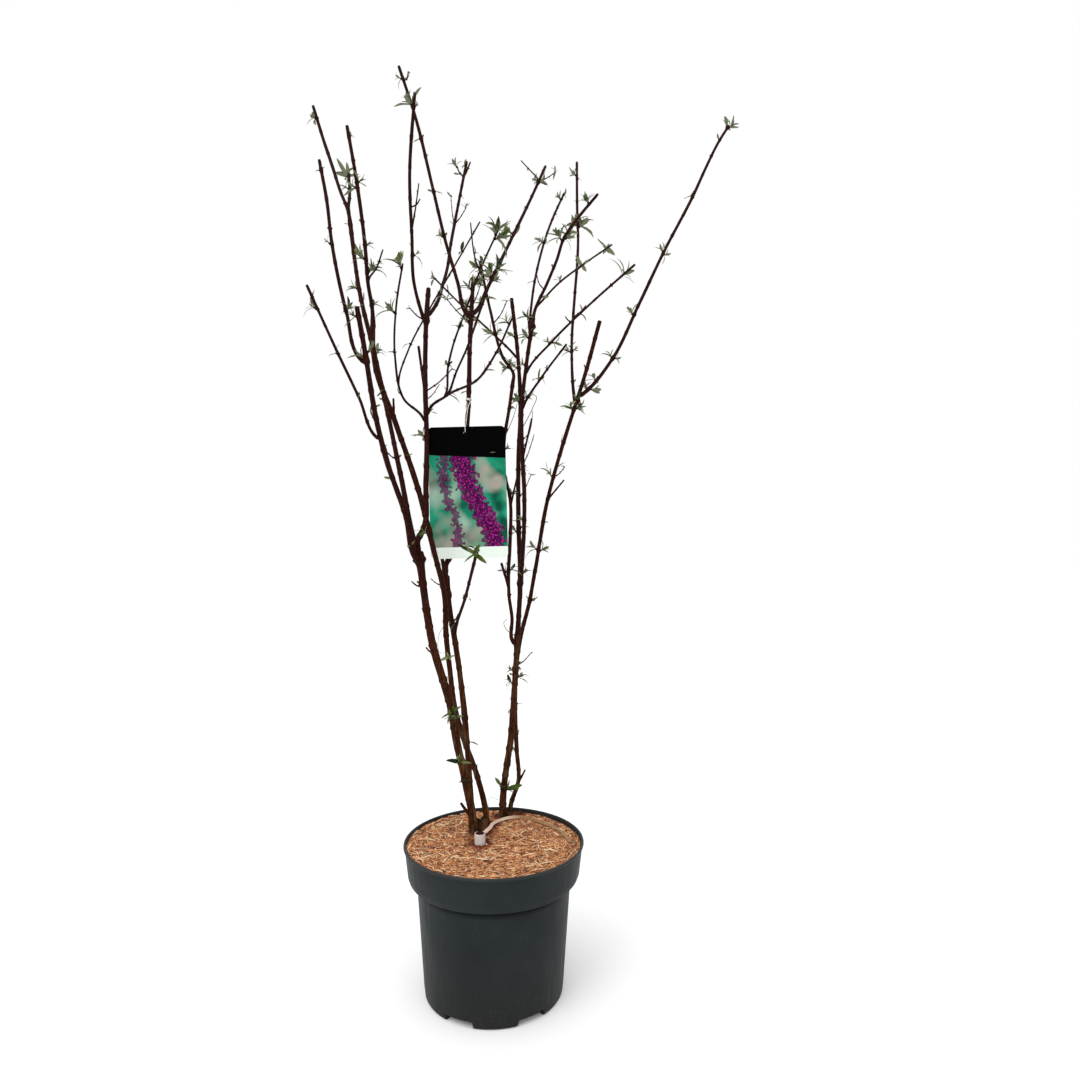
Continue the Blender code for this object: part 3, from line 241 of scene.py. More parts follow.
# Tufts as they stand on the plant: height in centimetres, bearing in degrees (0 right, 90 back,
# 180 left, 270 front), pairs of leaves, and the length of the longest leaf in centimetres
TUFTS = {
    "left_cane": (
        (35.6, 290, 1, 1.3), (39.0, 250, 2, 3.0), (47.0, 260, 3, 2.6), (48.2, 290, 2, 2.6),
        (54.0, 30, 1, 0.9), (60.3, 190, 1, 0.8), (66.5, 185, 1, 1.0), (71.0, 175, 1, 1.4),
    ),
    "middle_cane": (
        (41.4, 350, 1, 1.7), (45.8, 10, 1, 1.0), (51.5, 10, 1, 1.5), (63.0, 170, 1, 0.9),
        (68.2, 160, 1, 1.1),
    ),
    "crossing_cane": (
        (36.0, 0, 1, 1.5), (45.5, 190, 2, 1.8), (57.2, 290, 2, 1.7), (64.0, 10, 1, 0.9),
        (79.6, 190, 2, 1.9), (80.2, 20, 1, 1.4), (92.0, 300, 1, 1.4), (102.4, 200, 1, 1.8),
        (109.0, 10, 2, 1.8),
    ),
    "right_cane": (
        (31.2, 320, 2, 3.0), (31.8, 190, 1, 2.0), (36.2, 350, 1, 1.1), (43.0, 185, 1, 0.9),
        (46.8, 180, 1, 1.6), (52.0, 180, 2, 2.4), (54.4, 185, 3, 2.2), (54.8, 0, 1, 2.0),
    ),
    "thin_cane": (
        (38.0, 180, 1, 1.2), (41.6, 0, 1, 1.2), (46.4, 180, 1, 1.4), (47.2, 350, 1, 1.2),
        (52.2, 10, 2, 2.6), (52.6, 185, 1, 1.8), (54.7, 340, 1, 1.2), (66.7, 10, 2, 1.8),
        (67.0, 190, 1, 1.2), (76.3, 0, 3, 2.4), (76.4, 185, 3, 2.4), (90.6, 185, 2, 4.0),
        (97.4, 170, 1, 1.4), (103.6, 200, 3, 2.6), (104.0, 20, 3, 2.8), (105.4, 270, 2, 2.0),
        (111.5, 160, 1, 1.4),
    ),
    "left_outer_bough": (
        (88.6, 230, 1, 1.4), (97.4, 200, 1, 1.6), (99.0, 20, 1, 1.4), (106.1, 185, 3, 2.5),
        (106.6, 20, 3, 2.2), (111.6, 190, 3, 2.2),
    ),
    "left_inner_bough": (
        (93.0, 20, 1, 1.2), (103.5, 190, 1, 1.4), (112.0, 10, 2, 2.0), (121.9, 0, 1, 1.6),
        (124.0, 180, 2, 2.4), (131.0, 10, 1, 1.2), (136.4, 180, 1, 1.2),
    ),
    "centre_bough": (
        (80.6, 170, 1, 1.6), (86.0, 185, 1, 0.9), (91.2, 180, 1, 0.9), (96.4, 185, 3, 2.8),
        (100.8, 0, 2, 1.8), (109.0, 180, 1, 1.2), (118.0, 0, 1, 1.4),
    ),
    "label_bough": (
        (104.8, 170, 1, 1.4), (112.0, 180, 1, 1.0), (117.8, 175, 3, 2.4), (118.4, 20, 2, 2.0),
        (121.0, 185, 4, 2.6), (124.6, 180, 4, 3.0), (125.6, 10, 4, 2.6), (125.2, 280, 3, 2.4),
    ),
    "right_front_bough": (
        (72.6, 180, 3, 2.2), (73.0, 350, 2, 2.0), (86.4, 20, 2, 2.0), (94.6, 10, 2, 1.6),
        (101.8, 0, 1, 1.4),
    ),
    "right_inner_bough": (
        (72.0, 10, 2, 2.0), (79.8, 180, 3, 2.4), (80.6, 0, 3, 2.2), (91.6, 0, 2, 2.0),
        (104.0, 170, 2, 2.2), (110.3, 180, 3, 2.4), (116.0, 200, 2, 2.0),
    ),
    "right_outer_bough": (
        (82.0, 180, 2, 1.8), (90.4, 190, 1, 1.8), (96.8, 0, 2, 1.6), (103.9, 185, 2, 2.2),
        (104.4, 10, 2, 1.6), (110.8, 180, 2, 2.0), (116.2, 185, 3, 2.8), (116.8, 0, 2, 2.0),
    ),
    "far_left_shoot": (
        (112.4, 350, 2, 2.2), (112.2, 180, 1, 1.0), (121.7, 190, 2, 2.0), (132.4, 180, 1, 1.1),
        (132.6, 0, 1, 0.9),
    ),
    "low_left_shoot": ((100.4, 10, 1, 1.0), (105.5, 185, 1, 1.5), (110.8, 175, 3, 2.6)),
    "upper_left_shoot": ((157.6, 185, 2, 2.0),),
    "upper_left_shoot 0": ((144.3, 185, 2, 1.8), (147.4, 175, 2, 3.6), (147.8, 100, 2, 2.8)),
    "crossing_shoot": (
        (116.4, 0, 2, 1.6), (121.4, 350, 3, 3.0), (123.4, 180, 3, 3.0), (125.6, 10, 2, 1.6),
        (134.0, 175, 3, 2.5), (134.8, 10, 2, 2.2), (141.6, 0, 1, 1.8),
    ),
    "crossing_shoot 0": ((122.4, 20, 1, 1.0),),
    "centre_shoot": ((126.9, 20, 2, 2.0), (146.6, 180, 4, 2.6), (146.6, 0, 1, 1.8)),
    "back_centre_shoot": ((133.0, 180, 1, 1.2), (146.0, 10, 1, 1.2), (152.6, 175, 1, 1.4)),
    "back_centre_shoot 0": ((150.8, 180, 1, 1.6), (152.1, 175, 3, 2.4)),
    "front_left_shoot": (
        (103.2, 180, 1, 1.4), (109.0, 190, 1, 1.2), (114.3, 185, 4, 2.8), (119.4, 185, 4, 2.8),
    ),
    "front_left_shoot 0": ((110.6, 180, 1, 1.4), (117.6, 0, 1, 1.4), (122.3, 185, 1, 1.8)),
    "front_shoot": ((103.0, 100, 2, 1.8), (105.0, 95, 2, 2.0), (107.4, 0, 1, 1.4), (110.4, 180, 2, 1.8)),
    "front_shoot 0": (
        (108.2, 180, 1, 1.6), (108.4, 10, 1, 1.4), (114.2, 180, 1, 1.8), (114.4, 0, 1, 1.6),
        (121.2, 0, 2, 2.0), (126.4, 20, 3, 3.6), (126.8, 200, 3, 3.8), (127.4, 280, 2, 3.2),
    ),
    "front_shoot 1": ((109.6, 0, 1, 1.4), (114.6, 180, 2, 1.6), (117.6, 180, 4, 2.8), (118.2, 0, 4, 2.8)),
    "tallest_shoot": (
        (134.2, 185, 2, 1.9), (134.4, 0, 1, 1.5), (142.0, 10, 1, 1.6), (142.2, 190, 1, 1.2),
        (151.0, 190, 1, 1.8), (151.2, 0, 1, 1.2), (160.5, 180, 2, 1.9),
    ),
    "back_right_shoot": (
        (127.7, 10, 3, 2.4), (128.0, 190, 3, 2.2), (138.9, 185, 4, 2.8), (139.2, 10, 1, 1.8),
        (145.6, 190, 1, 1.2), (152.1, 5, 2, 2.6), (152.4, 185, 2, 1.8),
    ),
    "back_right_shoot 0": ((153.4, 185, 1, 1.2),),
    "label_twig": (
        (63.4, 190, 1, 1.2), (68.4, 185, 1, 1.8), (68.8, 10, 1, 1.2), (76.4, 262, 2, 3.0),
        (76.9, 180, 1, 2.2),
    ),
    "right_front_shoot": (
        (109.0, 180, 3, 2.6), (109.3, 10, 2, 2.0), (114.2, 185, 3, 2.8), (114.4, 0, 2, 2.0),
        (119.8, 10, 1, 1.6), (124.4, 190, 3, 2.4), (125.0, 10, 2, 2.0),
    ),
    "right_front_shoot 0": ((125.6, 0, 1, 1.0),),
    "long_back_shoot": (
        (117.4, 10, 1, 1.4), (123.0, 185, 1, 1.4), (128.6, 0, 1, 1.4), (131.8, 180, 2, 1.6),
    ),
    "right_back_shoot": (
        (120.9, 180, 3, 2.2), (121.2, 0, 1, 1.6), (129.0, 180, 1, 1.2), (138.1, 185, 4, 2.4),
        (138.4, 10, 1, 1.4), (146.0, 0, 1, 1.2), (150.0, 180, 3, 2.0), (151.2, 20, 1, 1.4),
    ),
    "right_shoot": (
        (124.4, 0, 1, 1.4), (129.4, 180, 1, 1.2), (134.0, 185, 5, 3.2), (134.4, 20, 4, 2.8),
        (134.8, 100, 4, 3.0), (139.4, 175, 4, 2.6),
    ),
    "right_shoot 0": (
        (128.6, 180, 2, 1.8), (133.6, 110, 2, 2.8), (133.8, 300, 1, 1.6), (139.6, 110, 4, 2.8),
    ),
    "right_front_twig": (
        (113.8, 0, 3, 2.2), (113.6, 180, 2, 1.8), (117.4, 10, 1, 1.8), (121.0, 110, 4, 2.8),
    ),
    "short_front_twig": ((104.2, 10, 1, 1.6), (106.7, 175, 1, 2.6), (107.0, 10, 1, 1.4)),
    "upright_right_shoot": (
        (109.6, 10, 1, 1.4), (116.0, 185, 3, 2.2), (116.4, 10, 2, 1.8), (122.8, 180, 1, 1.0),
        (137.6, 0, 1, 0.9), (145.4, 10, 5, 3.2), (145.9, 185, 4, 2.6), (146.2, 270, 3, 2.6),
        (157.6, 185, 3, 2.2), (156.8, 0, 1, 1.4),
    ),
    "far_right_shoot": (
        (107.6, 180, 2, 2.2), (108.0, 20, 3, 2.6), (109.4, 200, 2, 2.4), (113.8, 180, 2, 2.0),
        (114.0, 0, 2, 2.2), (122.4, 185, 2, 2.4), (122.6, 10, 1, 1.4), (134.2, 10, 2, 2.6),
        (134.6, 185, 2, 2.2), (145.1, 180, 1, 2.0), (156.2, 190, 1, 1.4), (158.4, 0, 4, 2.4),
        (158.6, 190, 3, 2.0),
    ),
}

# Bare or leafy side twigs: stem, height, radius in millimetres, tip, and pairs and size of its tuft
TWIGS = (
    ("back_centre_shoot", 150.2, 1.5, (-5.8, 18.5, 153.7), 0, 0),
    ("back_centre_shoot", 139.6, 0.6, (-9.3, 15, 145.4), 1, 1.2),
    ("back_centre_shoot", 139.8, 0.7, (-6.5, 16, 143.4), 2, 1.2),
    ("back_right_shoot", 152.4, 0.8, (11.3, 25, 154.8), 2, 1.6),
    ("centre_shoot", 130.4, 1.1, (-12.0, -7, 137.6), 0, 0),
    ("centre_shoot", 133.4, 0.7, (-11.6, -8, 134.6), 0, 0),
    ("tallest_shoot", 160.2, 0.8, (-15.4, 2.6, 161.9), 1, 0.9),
    ("right_shoot", 125.6, 0.6, (7.4, 10.5, 128.6), 0, 0),
    ("crossing_cane", 70.6, 0.6, (-10.9, -1.7, 71.9), 0, 0),
    ("middle_cane", 63.7, 0.8, (-6.8, 4.6, 65.1), 0, 0),
    ("left_cane", 58.9, 0.9, (-11.7, -1.9, 60.0), 0, 0),
    ("left_cane", 70.6, 0.9, (-13.9, -3.6, 71.5), 0, 0),
    ("thin_cane", 90.6, 0.7, (12.8, 13.0, 92.4), 1, 0.9),
    ("thin_cane", 54.6, 0.7, (6.4, 10.0, 57.2), 1, 1.0),
    ("upright_right_shoot", 124.0, 1.1, (17.5, 22.4, 126.4), 0, 0),
    ("upright_right_shoot", 122.8, 0.9, (13.2, 22, 124.0), 0, 0),
    ("right_outer_bough", 92.0, 0.6, (7.0, 3.0, 97.4), 0, 0),
    ("right_outer_bough", 116.4, 0.9, (5.8, 7.6, 119.6), 1, 1.6),
    ("right_inner_bough", 86.0, 0.6, (6.4, 8.0, 90.6), 1, 1.0),
    ("centre_bough", 104.6, 0.9, (-7.4, 0.6, 108.6), 1, 1.2),
    ("centre_bough", 103.0, 0.5, (-9.4, -1.0, 105.6), 0, 0),
    ("centre_bough", 117.4, 0.8, (-14.8, 0.4, 119.2), 1, 1.4),
    ("label_bough", 118.0, 0.8, (-8.6, 3.4, 121.6), 2, 1.8),
    ("label_bough", 121.0, 0.7, (-2.4, 3.2, 124.8), 2, 1.8),
    ("left_inner_bough", 92.6, 0.7, (-19.0, -1.4, 94.4), 1, 1.0),
    ("right_front_bough", 90.0, 0.6, (0.6, 0.4, 93.8), 1, 1.2),
    ("right_front_shoot", 116.0, 0.7, (2.4, -3.0, 119.4), 1, 1.4),
)

# Swollen knuckles of the forks: the stem, the height in centimetres, the share of swelling
KNUCKLES = (
    ("left_cane", 75.0, 0.35), ("middle_cane", 68.6, 0.30), ("label_bough", 119.4, 0.80),
    ("centre_bough", 117.4, 0.55), ("right_outer_bough", 118.8, 0.75), ("thin_cane", 105.6, 0.75),
    ("right_cane", 59.6, 0.25), ("left_outer_bough", 105.6, 0.5), ("back_right_shoot", 152.2, 0.4),
    ("right_inner_bough", 70.5, 0.3), ("far_right_shoot", 114.0, 0.25),
)

# Thin dead twigs and shreds: the radius in millimetres and the places they pass, in centimetres
FIBRES = (
    (0.50, ((-8.9, 2.3, 63.4), (-9.8, 2.2, 62.0), (-9.9, 2.2, 58.5), (-8.7, 4.4, 58.0))),
    (0.80, ((3.6, 5.2, 60.9), (1.8, 4.8, 62.4), (1.5, 4.8, 63.5), (2.1, 4.8, 64.1))),
    (0.95, ((4.9, 4.7, 95.0), (5.5, 4.7, 96.2), (6.5, 4.7, 99.4), (6.7, 4.7, 101.9))),
    (0.80, ((4.8, 5.0, 98.8), (5.5, 4.9, 100.0), (6.7, 4.8, 102.4), (7.3, 4.8, 104.6), (6.4, 4.8, 105.0))),
    (0.75, ((1.7, 2.4, 96.8), (2.2, 2.4, 97.8), (3.5, 2.3, 101.0), (4.0, 2.2, 102.8))),
    (0.40, ((-13.2, -4.2, 78.0), (-13.7, -4.6, 79.7), (-12.7, -4.9, 80.2), (-11.5, -4.8, 79.9))),
)

# Plain base colours of the leaves, dealt out by tuft, with each one's share, and the share of slim
# leaves
LEAF_TINTS = (
    ("leaves_sage", (0.102, 0.124, 0.042), 0.27),
    ("leaves_green", (0.047, 0.081, 0.011), 0.31),
    ("leaves_deep", (0.013, 0.020, 0.008), 0.33),
    ("leaves_pale", (0.222, 0.246, 0.120), 0.09),
)
UNDERSIDE_COLOUR = (0.148, 0.163, 0.096)
SLIM_SHARE = 0.42

# Drifts of florets on the label, in card heights: cells to a height, floret radius, where the drift
# crosses the foot, its half width, and its slope
DRIFTS = (
    (34.0, 0.0170, 0.50, 0.090, -0.30),
    (40.0, 0.0140, 0.52, 0.085, -0.33),
    (54.0, 0.0095, 0.20, 0.045, -0.10),
    (46.0, 0.0120, 0.49, 0.075, -0.30),
)

# Clouds of the label's blurred field: blotches to a height, where in the noise, its range, colour
BLURS = (
    (4.1, 0.0, 0.42, 0.64, (0.022, 0.300, 0.180)),
    (5.3, 3.7, 0.48, 0.66, (0.003, 0.062, 0.034)),
    (3.9, 8.1, 0.52, 0.70, (0.270, 0.400, 0.320)),
    (4.4, 5.2, 0.50, 0.68, (0.290, 0.270, 0.225)),
)

# Plain base colours of the mulch chips, with each one's share
CHIP_TINTS = (
    ("chips_tan", (0.560, 0.215, 0.078), 0.37),
    ("chips_light", (0.780, 0.385, 0.160), 0.23),
    ("chips_straw", (0.920, 0.660, 0.390), 0.07),
    ("chips_brown", (0.320, 0.100, 0.033), 0.21),
    ("chips_dark", (0.100, 0.028, 0.010), 0.12),
)

# Painted shade on the mulch: its colour, and the places it rings, in centimetres: stems' feet and the sleeve
FOOT_SHADE_COLOUR = (0.125, 0.0135, 0.004)
FOOT_SHADE_PLACES = ((-2.6, 3.2), (-1.8, 7.0), (1.0, 11.2), (2.9, 13.3), (-2.4, -1.2))

# Stubs of old wood on the mulch: foot in centimetres, lean, radius and height in millimetres
CROWN_STUBS = (
    (-2.7, 1.9, -0.1, -0.2, 4.6, 15), (-2.4, 4.0, 0.15, 0.3, 6.4, 24), (-3.2, 4.9, 0.2, -0.1, 5.2, 20),
    (-2.1, 4.6, -0.2, 0.2, 4.6, 15), (-2.6, 6.2, 0.1, 0.3, 4.8, 18), (-3.4, 7.0, -0.1, 0.3, 3.6, 13),
    (1.9, 12.2, 0.2, -0.2, 3.6, 12), (3.9, 12.9, 0.4, 0.2, 3.0, 10),
)

# Crumbs on the mulch: name, colour, slot, places in centimetres with the height over the mulch in
# millimetres, and the least and greatest radius in millimetres
CRUMBS = (
    ("white_grit", (0.72, 0.70, 0.66), "white_plastic",
     ((-4.0, 6.8, 2), (-2.6, 5.5, 3), (-1.2, -1.8, 2), (4.1, 3.0, 1), (-6.0, -4.2, 1), (7.2, 6.4, 1),
      (-9.4, 2.2, 1)), 1.0, 1.9),
    ("moss", (0.075, 0.105, 0.028), "foliage",
     ((7.5, 10.1, 1), (8.0, 9.8, 1), (6.6, 7.6, 1), (-8.8, 8.0, 1)), 1.4, 2.6),
)


# Routes


def unit(vector):
    """Each vector divided by its length."""
    return vector / np.linalg.norm(vector, axis=-1, keepdims=True)


def smooth_route(points, step):
    """A cubic line through the points, its slopes weighted by chord, in places one step apart."""
    points = np.array(points, float)
    spans = np.linalg.norm(np.diff(points, axis=0), axis=1)
    slopes = np.diff(points, axis=0) / spans[:, None]
    tangents = np.empty_like(points)
    tangents[0] = slopes[0]
    tangents[-1] = slopes[-1]
    share = (spans[:-1] / (spans[:-1] + spans[1:]))[:, None]
    tangents[1:-1] = slopes[:-1] * (1 - share) + slopes[1:] * share
    t = np.linspace(0, 1, 25)[:-1, None]
    fine = []
    for index, span in enumerate(spans):
        fine.append((2 * t**3 - 3 * t**2 + 1) * points[index]
                    + (t**3 - 2 * t**2 + t) * span * tangents[index]
                    + (3 * t**2 - 2 * t**3) * points[index + 1]
                    + (t**3 - t**2) * span * tangents[index + 1])
    fine = np.vstack(fine + [points[-1:]])
    along = np.concatenate([[0], np.cumsum(np.linalg.norm(np.diff(fine, axis=0), axis=1))])
    count = max(4, round(along[-1] / step) + 1)
    wanted = np.linspace(0, along[-1], count)
    return np.stack([np.interp(wanted, along, fine[:, axis]) for axis in range(3)], axis=1)


class Stem:
    """A tapering limb: its centre line and the radius at each place along it."""

    def __init__(self, points, thick, thin, knob=0.0, flare=0.0, step=3 * MM):
        self.places = smooth_route(points, step)
        lengths = np.linalg.norm(np.diff(self.places, axis=0), axis=1)
        self.along = np.concatenate([[0], np.cumsum(lengths)])
        self.length = self.along[-1]
        share = self.along / self.length
        self.radii = MM * (thick + (thin - thick) * share)
        self.radii *= 1 + flare * np.exp(-self.along / FLARE_REACH)
        self.radii *= 1 + knob * np.exp(-((self.along - self.length) / KNOB_REACH) ** 2)
        self.nodes = []
        self.knuckles = []

    def at(self, distance):
        """Place, direction and radius at a distance along the stem."""
        place = np.array([np.interp(distance, self.along, self.places[:, axis]) for axis in range(3)])
        index = int(np.clip(np.searchsorted(self.along, distance), 1, len(self.along) - 1))
        direction = unit(self.places[index] - self.places[index - 1])
        return place, direction, float(np.interp(distance, self.along, self.radii))

    def at_height(self, height):
        return float(np.interp(height, self.places[:, 2], self.along))


def limb_stem(parent, start, thick, thin, knob, route, stems, step):
    """A stem that starts below the mulch, or inside the limb that carries it."""
    tail = [np.array(point) * CM for point in route if len(point) == 3]
    if parent == "mulch":
        ground = np.array([route[0][0] * CM, route[0][1] * CM, MULCH_TOP])
        head = [ground - (0, 0, 12 * MM), ground + (0, 0, 1.0 * CM)]
        return Stem(head + tail, thick, thin, knob, GROUND_FLARE, step)
    carrier = stems[parent]
    if start == "tip":
        place, direction, girth = carrier.at(carrier.length)
        head = [place - direction * 1.2 * girth, place + direction * 2 * girth]
        return Stem(head + tail, thick, thin, knob, TIP_FLARE, step)
    place, direction, girth = carrier.at(carrier.at_height(start * CM))
    out = tail[0] - place
    out = unit(out - direction * out.dot(direction))
    radius = thick * MM
    side = place + out * (girth + 2.2 * radius) + direction * 2.4 * radius
    head = [place, place + out * (girth + 0.8 * radius) + direction * 0.7 * radius, side]
    return Stem(head + tail, thick, thin, knob, FORK_FLARE, step)


def all_stems():
    """Every limb, shoot and arm by name. An arm is named after its shoot, with its number."""
    stems = {}
    for name, parent, start, thick, thin, knob, route in LIMBS:
        step = 2.4 * MM if name in CANE_NAMES else 2.8 * MM
        stems[name] = limb_stem(parent, start, thick, thin, knob, route, stems, step)
    for name, parent, start, thick, thin, route, arms in SHOOTS:
        shoot = limb_stem(parent, start, thick, thin, 0, route, stems, 3.5 * MM)
        stems[name] = shoot
        for number, (height, arm_thick, arm_thin, arm_route) in enumerate(arms):
            root, direction, girth = shoot.at(shoot.at_height(height * CM))
            tail = [np.array(point) * CM for point in arm_route]
            lead = root + unit(unit(tail[0] - root) + direction) * 3 * girth
            arm = Stem([root, lead] + tail, arm_thick, arm_thin, 0, ARM_FLARE, 3.5 * MM)
            stems[f"{name} {number}"] = arm
    return stems


# Meshes


def placed(name, data):
    """A new object with the given data, linked to the scene."""
    item = bpy.data.objects.new(name, data)
    bpy.context.scene.collection.objects.link(item)
    return item


class Surface:
    """Collects grids of points, and makes them one mesh of quads and caps."""

    def __init__(self):
        self.points = []
        self.faces = []
        self.cuts = []
        self.count = 0

    def add(self, points, faces, cut=0.0):
        flat = points.reshape(-1, 3)
        self.points.append(flat)
        self.cuts.append(np.broadcast_to(np.asarray(cut, float), len(flat)))
        for face in faces:
            self.faces.append(face + self.count)
        self.count += len(flat)

    def piece(self, name, material, smooth=True, sharp=40):
        """An object with the mesh. Edges sharper than the given degrees stay hard."""
        points = np.vstack(self.points)
        mesh = bpy.data.meshes.new(name)
        mesh.vertices.add(len(points))
        mesh.vertices.foreach_set("co", points.astype(np.float32).ravel())
        loops = np.concatenate([face.ravel() for face in self.faces])
        sizes = np.concatenate([np.full(len(face), face.shape[1]) for face in self.faces])
        mesh.loops.add(len(loops))
        mesh.loops.foreach_set("vertex_index", loops.astype(np.int32))
        mesh.polygons.add(len(sizes))
        mesh.polygons.foreach_set("loop_start", (np.cumsum(sizes) - sizes).astype(np.int32))
        mesh.update(calc_edges=True)
        cut = mesh.attributes.new("cut", "FLOAT", "POINT")
        cut.data.foreach_set("value", np.concatenate(self.cuts).astype(np.float32))
        mesh.materials.append(material)
        if smooth:
            mesh.shade_smooth()
            mesh.set_sharp_from_angle(angle=math.radians(sharp))
        return placed(name, mesh)


def welded(piece, apart=0.002 * MM):
    """Merges a piece's points at its seams and poles, and turns its faces outwards."""
    form = bmesh.new()
    form.from_mesh(piece.data)
    bmesh.ops.remove_doubles(form, verts=form.verts, dist=apart)
    bmesh.ops.recalc_face_normals(form, faces=form.faces)
    form.to_mesh(piece.data)
    form.free()
    return piece


def dress(item, slot, *nodes):
    """The piece moves with the plant and stands for CAD nodes, which it hides. The slot is not used."""
    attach(item, "root")
    if nodes:
        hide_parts(*nodes)
    return item


def grid_faces(rows, columns, wrap=True):
    """Quads between neighbouring rows of a grid, whose last column may join its first."""
    spans = columns if wrap else columns - 1
    row = np.arange(rows - 1)[:, None] * columns
    near = np.arange(spans)[None, :]
    far = (near + 1) % columns
    quads = np.stack([row + near, row + far, row + columns + far, row + columns + near], axis=-1)
    return quads.reshape(-1, 4)


def round_frame(places):
    """Directions along a route, and two more square to each, from one fixed reference."""
    heading = unit(np.gradient(places, axis=0))
    side = unit(np.cross(heading, ROUND_REFERENCE))
    return heading, side, np.cross(heading, side)


def fan_caps(rows, sides):
    """Triangles that close both ends of a tube from two points that follow its rows."""
    near = np.arange(sides)
    far = (near + 1) % sides
    last = (rows - 1) * sides
    return [np.stack([far, near, np.full(sides, rows * sides)], axis=1),
            np.stack([last + near, last + far, np.full(sides, rows * sides + 1)], axis=1)]


def tube(surface, places, radii, sides, cut_tip=0.0, cut=None):
    """A ring of the given radii round each place of a route, closed by a cap at each end.

    A radius may be one value a ring or one value a point: place + radius (side cos a + up sin a).
    """
    heading, side, up = round_frame(places)
    radii = np.asarray(radii, float)
    if radii.ndim == 1:
        radii = np.repeat(radii[:, None], sides, axis=1)
    angle = np.arange(sides) * math.tau / sides
    ring = side[:, None] * np.cos(angle)[None, :, None] + up[:, None] * np.sin(angle)[None, :, None]
    points = places[:, None] + radii[..., None] * ring
    rows = len(places)
    marks = np.zeros((rows, sides)) if cut is None else np.repeat(cut[:, None], sides, axis=1)
    marks[-1] = np.maximum(marks[-1], cut_tip)
    foot = places[0] - 0.15 * radii[0].mean() * heading[0]
    tip = places[-1] + 0.15 * radii[-1].mean() * heading[-1]
    flat = np.vstack([points.reshape(-1, 3), foot, tip])
    marks = np.concatenate([marks.ravel(), [0.0, cut_tip]])
    surface.add(flat, [grid_faces(rows, sides)] + fan_caps(rows, sides), marks)


def thread(surface, line, radius, sides=10):
    """A tube of one radius along a line."""
    tube(surface, line, np.full(len(line), radius), sides)


def ball(surface, centre, tall, wide, least, bumpy=0.0, seed=0):
    """A ball as a tube up Z, at angles a from 0 to 180 degrees.

    Its rings stand at -tall cos a and have the radius wide sin a, no smaller than a least share.
    """
    slope = np.radians(np.linspace(0, 180, 9))
    rise = np.stack([0 * slope, 0 * slope, -tall * np.cos(slope)], axis=1)
    lumps = 1 + bumpy * cylinder_noise(np.arange(12) / 12, slope[:, None], 5, 0.7, seed)
    tube(surface, centre + rise, wide * np.maximum(np.sin(slope), least)[:, None] * lumps, 12)


def ease(t):
    """From 0 to 1 with level ends: 3t^2 - 2t^3."""
    return t**2 * (3 - 2 * t)


def lattice_noise(lattice, a, b):
    """A lattice's values between its points at column a and row b. Its last column joins its first."""
    i = np.floor(a).astype(int)
    j = np.floor(b).astype(int)
    f = ease(a - i)
    first = i % lattice.shape[1]
    second = (i + 1) % lattice.shape[1]
    low = lattice[j, first] * (1 - f) + lattice[j, second] * f
    high = lattice[j + 1, first] * (1 - f) + lattice[j + 1, second] * f
    g = ease(b - j)
    return low * (1 - g) + high * g


def cylinder_noise(turns, run, cells, row_length, seed):
    """Smooth noise over a tube, from random values on a lattice round it and along it."""
    rows = int(run.max() / row_length) + 2
    lattice = np.random.default_rng(seed).uniform(-1, 1, (rows + 1, cells))
    return lattice_noise(lattice, turns * cells, run / row_length)


def plane_noise(x, y, cell, seed):
    """Smooth noise over a plane, from random values on a square lattice about its middle."""
    lattice = np.random.default_rng(seed).uniform(-1, 1, (256, 256))
    return lattice_noise(lattice, x / cell + 128, y / cell + 128)


# Materials


class Value:
    """What a node puts out. Sums and products of it are maths nodes."""

    def __init__(self, made, output=0):
        self.tree = made.id_data
        self.socket = made.outputs[output]

    def __add__(self, other):
        return maths("ADD", self, other)

    def __sub__(self, other):
        return maths("SUBTRACT", self, other)

    def __rsub__(self, other):
        return maths("SUBTRACT", other, self)

    def __mul__(self, other):
        return maths("MULTIPLY", self, other)


def fill(made, inputs):
    """Gives a node's inputs their numbers, and links those that take a Value."""
    for key, value in inputs.items():
        if isinstance(value, Value):
            made.id_data.links.new(value.socket, made.inputs[key])
        else:
            made.inputs[key].default_value = value


def node(tree, kind, inputs=None, **settings):
    """Adds a shader node with its settings and its inputs."""
    made = tree.nodes.new(kind)
    for key, value in settings.items():
        setattr(made, key, value)
    fill(made, inputs or {})
    return made


def joined(kind, values, output=0, **settings):
    """A node over some values, in the tree of the first that is a Value."""
    tree = next(value.tree for value in values.values() if isinstance(value, Value))
    return Value(node(tree, kind, values, **settings), output)


def maths(operation, *values):
    return joined("ShaderNodeMath", dict(enumerate(values)), operation=operation)


def vector_maths(operation, first, second=(0, 0, 0), output=0):
    return joined("ShaderNodeVectorMath", {0: first, 1: second}, output, operation=operation)


def mix(share, first, second):
    """A colour between two colours, each a Value or a plain colour."""
    values = {0: share, 6: first, 7: second}
    for key, value in values.items():
        if isinstance(value, tuple):
            values[key] = (*value, 1)
    return joined("ShaderNodeMix", values, 2, data_type="RGBA")


def spread(value, low, high, to_low=0.0, to_high=1.0):
    """The value's range low to high, stretched to another range and held inside it."""
    return joined("ShaderNodeMapRange", {"Value": value, "From Min": low, "From Max": high,
                                         "To Min": to_low, "To Max": to_high})


def object_place(tree):
    return Value(node(tree, "ShaderNodeTexCoord"), "Object")


def parts_of(vector):
    """A vector's or a colour's three parts."""
    made = node(vector.tree, "ShaderNodeSeparateXYZ", {0: vector})
    return [Value(made, axis) for axis in range(3)]


def noise(vector, scale, detail, roughness=0.5):
    """Smooth noise from 0 to 1, so many blotches to a unit of the vector."""
    return joined("ShaderNodeTexNoise", {"Vector": vector, "Scale": scale, "Detail": detail,
                                         "Roughness": roughness})


